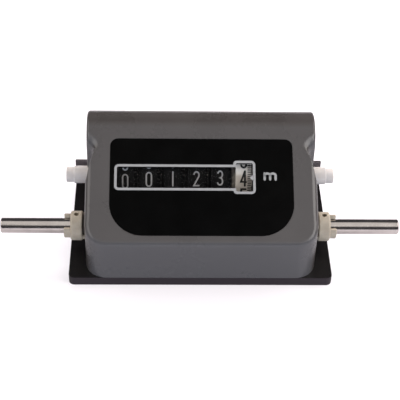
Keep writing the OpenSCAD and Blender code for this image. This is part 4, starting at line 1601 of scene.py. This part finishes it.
@dataclass(frozen=True)
class ResetShaft:
    """The reset shaft with its white stubs, spacers and detent."""

    half_span: float = 61.2
    end_l: float = 3.6
    end_r: float = 3.5
    inner_x: float = 44.5
    shaft_r: float = 3.0
    socket_x: float = 57.0

    def build(self) -> None:
        """Builds the stubs and dresses the rest."""
        lay = LAYOUT
        for side in Side:
            s, step = side.value, self.half_span - self.end_l
            outline = fillet(
                [(self.inner_x, self.shaft_r), (self.socket_x, self.shaft_r), (self.socket_x, 0.0),
                 (self.half_span, 0.0), (self.half_span, self.end_r), (step, self.end_r),
                 (step, lay.stub_r), (self.inner_x, lay.stub_r)],
                [0.0, 0.0, 0.0, 0.0, 0.45, 0.15, 0.35, 0.2], 6)
            turned = [(s * x, q) for x, q in outline]
            stub = lathe(f"{side.label}_stub", turned, lay.axis_y, lay.axis_z)
            soften(stub, 0.0)
            dress(stub, TRANSLUCENT, "reset", f"{side.label}_reset_stub")
            refined(f"{side.label}_spacer", ZINC, 0.15)
        refined("reset_shaft", GROUND_STEEL, 0.1)
        refined("detent_disc", ZINC, 0.15)
        refined("detent_spring", BLUED, 0.05)


@dataclass(frozen=True)
class InnerFrame:
    """The side plates, tie bars, rods, gears and pinions inside the housing."""

    def build(self) -> None:
        """Dresses each piece of the inner frame."""
        pinions = [f"transfer_pinion_{i}" for i in range(1, 6)]
        for finish, width, nodes in (
                (ZINC, 0.18, [f"{side.label}_side_plate" for side in Side]),
                (ZINC, 0.15, ["front_tie_bar", "back_tie_bar"]),
                (GROUND_STEEL, 0.15, ["idler_rod", "pinion_shaft"]),
                (CUT_BRASS, 0.05, ["idler_gear", "units_gear"]),
                (DARK_MOULDING, 0.05, pinions)):
            for node in nodes:
                refined(node, finish, width)


@dataclass(frozen=True)
class Screws:
    """The slotted screws, each set placed by one tree on its points."""

    head_r: float = 2.7
    head_h: float = 1.6
    thread_r: float = 1.5
    slot_w: float = 0.7

    def shape(self, name: str, length: float, sunk: bool) -> bpy.types.Object:
        """One screw with its head's underside at the origin and its head along +X.

        Args:
            name: The object's name.
            length: Length of the thread under the head.
            sunk: Whether the head is countersunk.

        Returns:
            The screw.
        """
        r, h, t = self.head_r, self.head_h, self.thread_r
        if sunk:
            head = [(0.0, t), (h - 0.12, r - 0.03), (h, r - 0.12), (h, 0.0)]
        else:
            dome = ((0.35, 1.0), (0.62, 0.93), (0.84, 0.76), (0.96, 0.5))
            head = [(0.0, t), (0.0, r)] + [(h * x, r * q) for x, q in dome] + [(h, 0.0)]
        tip = [(-length, 0.0), (-length, t - 0.3), (-length + 0.4, t)]
        turned = lathe(name, tip + head, 0.0, 0.0, 64)
        build = bmesh.new()
        size = Matrix.Diagonal((h, 4 * r, self.slot_w, 1.0))
        bmesh.ops.create_cube(build, size=1.0, matrix=Matrix.Translation((h, 0.0, 0.0)) @ size)
        cut_away(turned, build)
        soften(turned, 0.07, 2, 50.0)
        return turned

    def place(self, name: str, screw: bpy.types.Object, points: Sequence[Sequence[float]],
              turn: Sequence[float]) -> None:
        """Puts a copy of a screw at each point and dresses the set.

        Args:
            name: The node that the set replaces.
            screw: The screw.
            points: Places of the heads' undersides.
            turn: The screws' turn, in radians.
        """
        tree = Tree(name + "_tree")
        spin = tree.size("Turn", "NodeSocketVector")
        source = tree.size("Screw", "NodeSocketObject")
        shape = tree.add("GeometryNodeObjectInfo", {}, {"Object": source}, "Geometry")
        spread = {"Points": tree.start.outputs[0], "Instance": shape, "Rotation": spin}
        copies = tree.add("GeometryNodeInstanceOnPoints", {}, spread)
        tree.close(copies, ZINC_SCREW.material())
        start = bpy.data.meshes.new(name + "_points")
        start.from_pydata([tuple(c * MM for c in p) for p in points], [], [])
        made = tree.run(name + "_set", start, {"Turn": tuple(turn), "Screw": screw})
        dress(made, ZINC_SCREW, "frame", name)

    def build(self) -> None:
        """Builds the three sets of screws."""
        lay, quarter = LAYOUT, math.pi / 2
        long = self.shape("housing_screw", 7.2, False)
        places = [(side.value * lay.screw_x, 32.7, lay.screw_z) for side in Side]
        self.place("housing_screws", long, places, (0.35, 0.0, quarter))
        sunk = self.shape("foot_screw", 5.4, True)
        places = [(x, y, self.head_h) for x in (-46.3, 46.3) for y in (-21.0, 19.0)]
        self.place("frame_screws", sunk, places, (0.0, quarter, 0.0))
        for screw in (long, sunk):
            bpy.data.objects.remove(screw)
        refined("tie_bar_screws", ZINC_SCREW, 0.07)


# Camera, lamps and floor


# Name, place and size in metres, power in watts, colour, and whether polished pieces show it
LAMPS = (
    ("top_softbox", (0.05, -0.26, 1.0), (0.8, 1.3), 2.6, (1.0, 0.965, 0.93), True),
    ("top_fill", (0.0, -0.5, 0.9), (0.8, 0.8), 0.3, (1.0, 0.96, 0.92), False),
    ("left_softbox", (-0.85, -0.08, 0.75), (1.3, 0.9), 10.3, (1.0, 0.963, 0.935), True),
    ("right_softbox", (0.85, -0.08, 0.75), (1.3, 0.9), 17.0, (1.0, 0.963, 0.935), True),
    ("front_fill", (0.1, -1.2, 0.10), (1.4, 0.2), 15.5, (0.84, 0.94, 1.10), False),
    ("back_fill", (0.1, 0.85, 0.70), (1.2, 0.5), 29.0, (0.98, 0.95, 0.97), False),
)


@dataclass(frozen=True)
class Studio:
    """The camera, the lamps and the pale floor."""

    lens: float = 105.29
    elevation: float = math.radians(43.0)
    yaw: float = math.radians(2.547)
    roll: float = math.radians(2.014)
    eye: tuple[float, float, float] = (-17.515, -393.001, 386.347)

    def camera(self) -> None:
        """Places the camera at the photograph's viewpoint."""
        sin_y, cos_y = math.sin(self.yaw), math.cos(self.yaw)
        sin_e, cos_e = math.sin(self.elevation), math.cos(self.elevation)
        ahead = Vector((sin_y * cos_e, cos_y * cos_e, -sin_e))
        right = Vector((cos_y, -sin_y, 0.0))
        up = right.cross(ahead)
        cos_r, sin_r = math.cos(self.roll), math.sin(self.roll)
        right, up = right * cos_r + up * sin_r, up * cos_r - right * sin_r
        data = bpy.data.cameras.new("viewpoint")
        data.lens, data.sensor_width, data.sensor_fit = self.lens, 36.0, "HORIZONTAL"
        data.clip_start, data.clip_end = 0.05, 20.0
        made = bpy.data.objects.new("viewpoint", data)
        turn = Matrix((right, up, -ahead)).transposed().to_4x4()
        made.matrix_world = Matrix.Translation(Vector(self.eye) * MM) @ turn
        bpy.context.scene.collection.objects.link(made)
        bpy.context.scene.camera = made

    def lamp(self, name: str, at: Sequence[float], size: Point2, power: float, colour: Colour,
             mirrored: bool) -> None:
        """Adds one soft lamp aimed at the counter.

        Args:
            name: The lamp's name.
            at: Its place in metres.
            size: Its width and height in metres.
            power: Its power in watts.
            colour: Its colour.
            mirrored: Whether polished pieces show it.
        """
        data = bpy.data.lights.new(name, "AREA")
        data.shape, data.size, data.size_y = "RECTANGLE", size[0], size[1]
        data.energy, data.color = power, colour
        made = bpy.data.objects.new(name, data)
        made.location = at
        made.visible_glossy = mirrored
        aim = Vector((0.0, 0.0, 0.025)) - Vector(at)
        made.rotation_euler = aim.to_track_quat("-Z", "Y").to_euler()
        bpy.context.scene.collection.objects.link(made)

    def world(self) -> None:
        """White for the camera, and plain grey light for the counter."""
        world = bpy.data.worlds.new("studio")
        bpy.context.scene.world = world
        world.use_nodes = True
        graph = Graph(world.node_tree)
        seen = graph.add("ShaderNodeLightPath", output="Is Camera Ray")
        plain, white = (
            graph.add("ShaderNodeBackground", {}, {"Color": rgba(colour), "Strength": strength})
            for colour, strength in (((0.90, 0.88, 0.95), 0.07), ((1.0, 1.0, 1.0), 1.0)))
        mixed = graph.add("ShaderNodeMixShader", {}, {0: seen, 1: plain, 2: white})
        graph.close("ShaderNodeOutputWorld", mixed)

    def floor(self) -> None:
        """Adds the pale floor, which looks white and keeps the counter's shadow."""
        build = bmesh.new()
        bmesh.ops.create_grid(build, x_segments=2, y_segments=2, size=2500.0)
        made = new_object("floor", mesh_of(build, "floor"))
        material = bpy.data.materials.new("pale_floor")
        material.use_nodes = True
        graph = Graph(material.node_tree)
        seen = graph.add("ShaderNodeLightPath", output="Is Camera Ray")
        pale = graph.add("ShaderNodeBsdfDiffuse", {}, {"Color": rgba((0.425, 0.412, 0.43))})
        at = graph.add("ShaderNodeTexCoord", output="Object")
        far = graph.add("ShaderNodeVectorMath", {"operation": "LENGTH"}, {0: at}, "Value")
        strength = seen * (far.over(0.3, 0.9) * 0.5 + 0.5)
        shine = {"Color": rgba((1.0, 0.97, 1.0)), "Strength": strength}
        glow = graph.add("ShaderNodeEmission", {}, shine)
        both = graph.add("ShaderNodeAddShader", {}, {0: pale, 1: glow})
        graph.close("ShaderNodeOutputMaterial", both)
        made.data.materials.append(material)

    def build(self) -> None:
        """Sets the stage."""
        self.camera()
        self.world()
        self.floor()
        for lamp in LAMPS:
            self.lamp(*lamp)
        bpy.context.scene.view_settings.view_transform = "Standard"


def main() -> None:
    """Builds the counter's pieces in order."""
    logging.basicConfig(level=logging.INFO, format="%(name)s: %(message)s")
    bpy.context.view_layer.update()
    Studio().build()
    Housing().build()
    refined("base_plate", BLACK_PAINT, 0.5, 3)
    FrontPanel().build()
    for i, (figure, angle) in enumerate(((0, 28.4), (0, 32.5), (1, 33.9), (2, 34.4), (3, 36.1))):
        shift = -0.12 if figure == 0 else 0.0
        NumberWheel(i, figure, angle, MATT_BLACK, FIGURES, 2.9, 6.9, shift, 0.62).build()
    NumberWheel(5, 4, 35.3, IVORY, INK, 3.3, 7.5, 0.0, 0.88, True).build()
    DriveShaft().build()
    ResetShaft().build()
    InnerFrame().build()
    Screws().build()


if __name__ == "__main__":
    main()
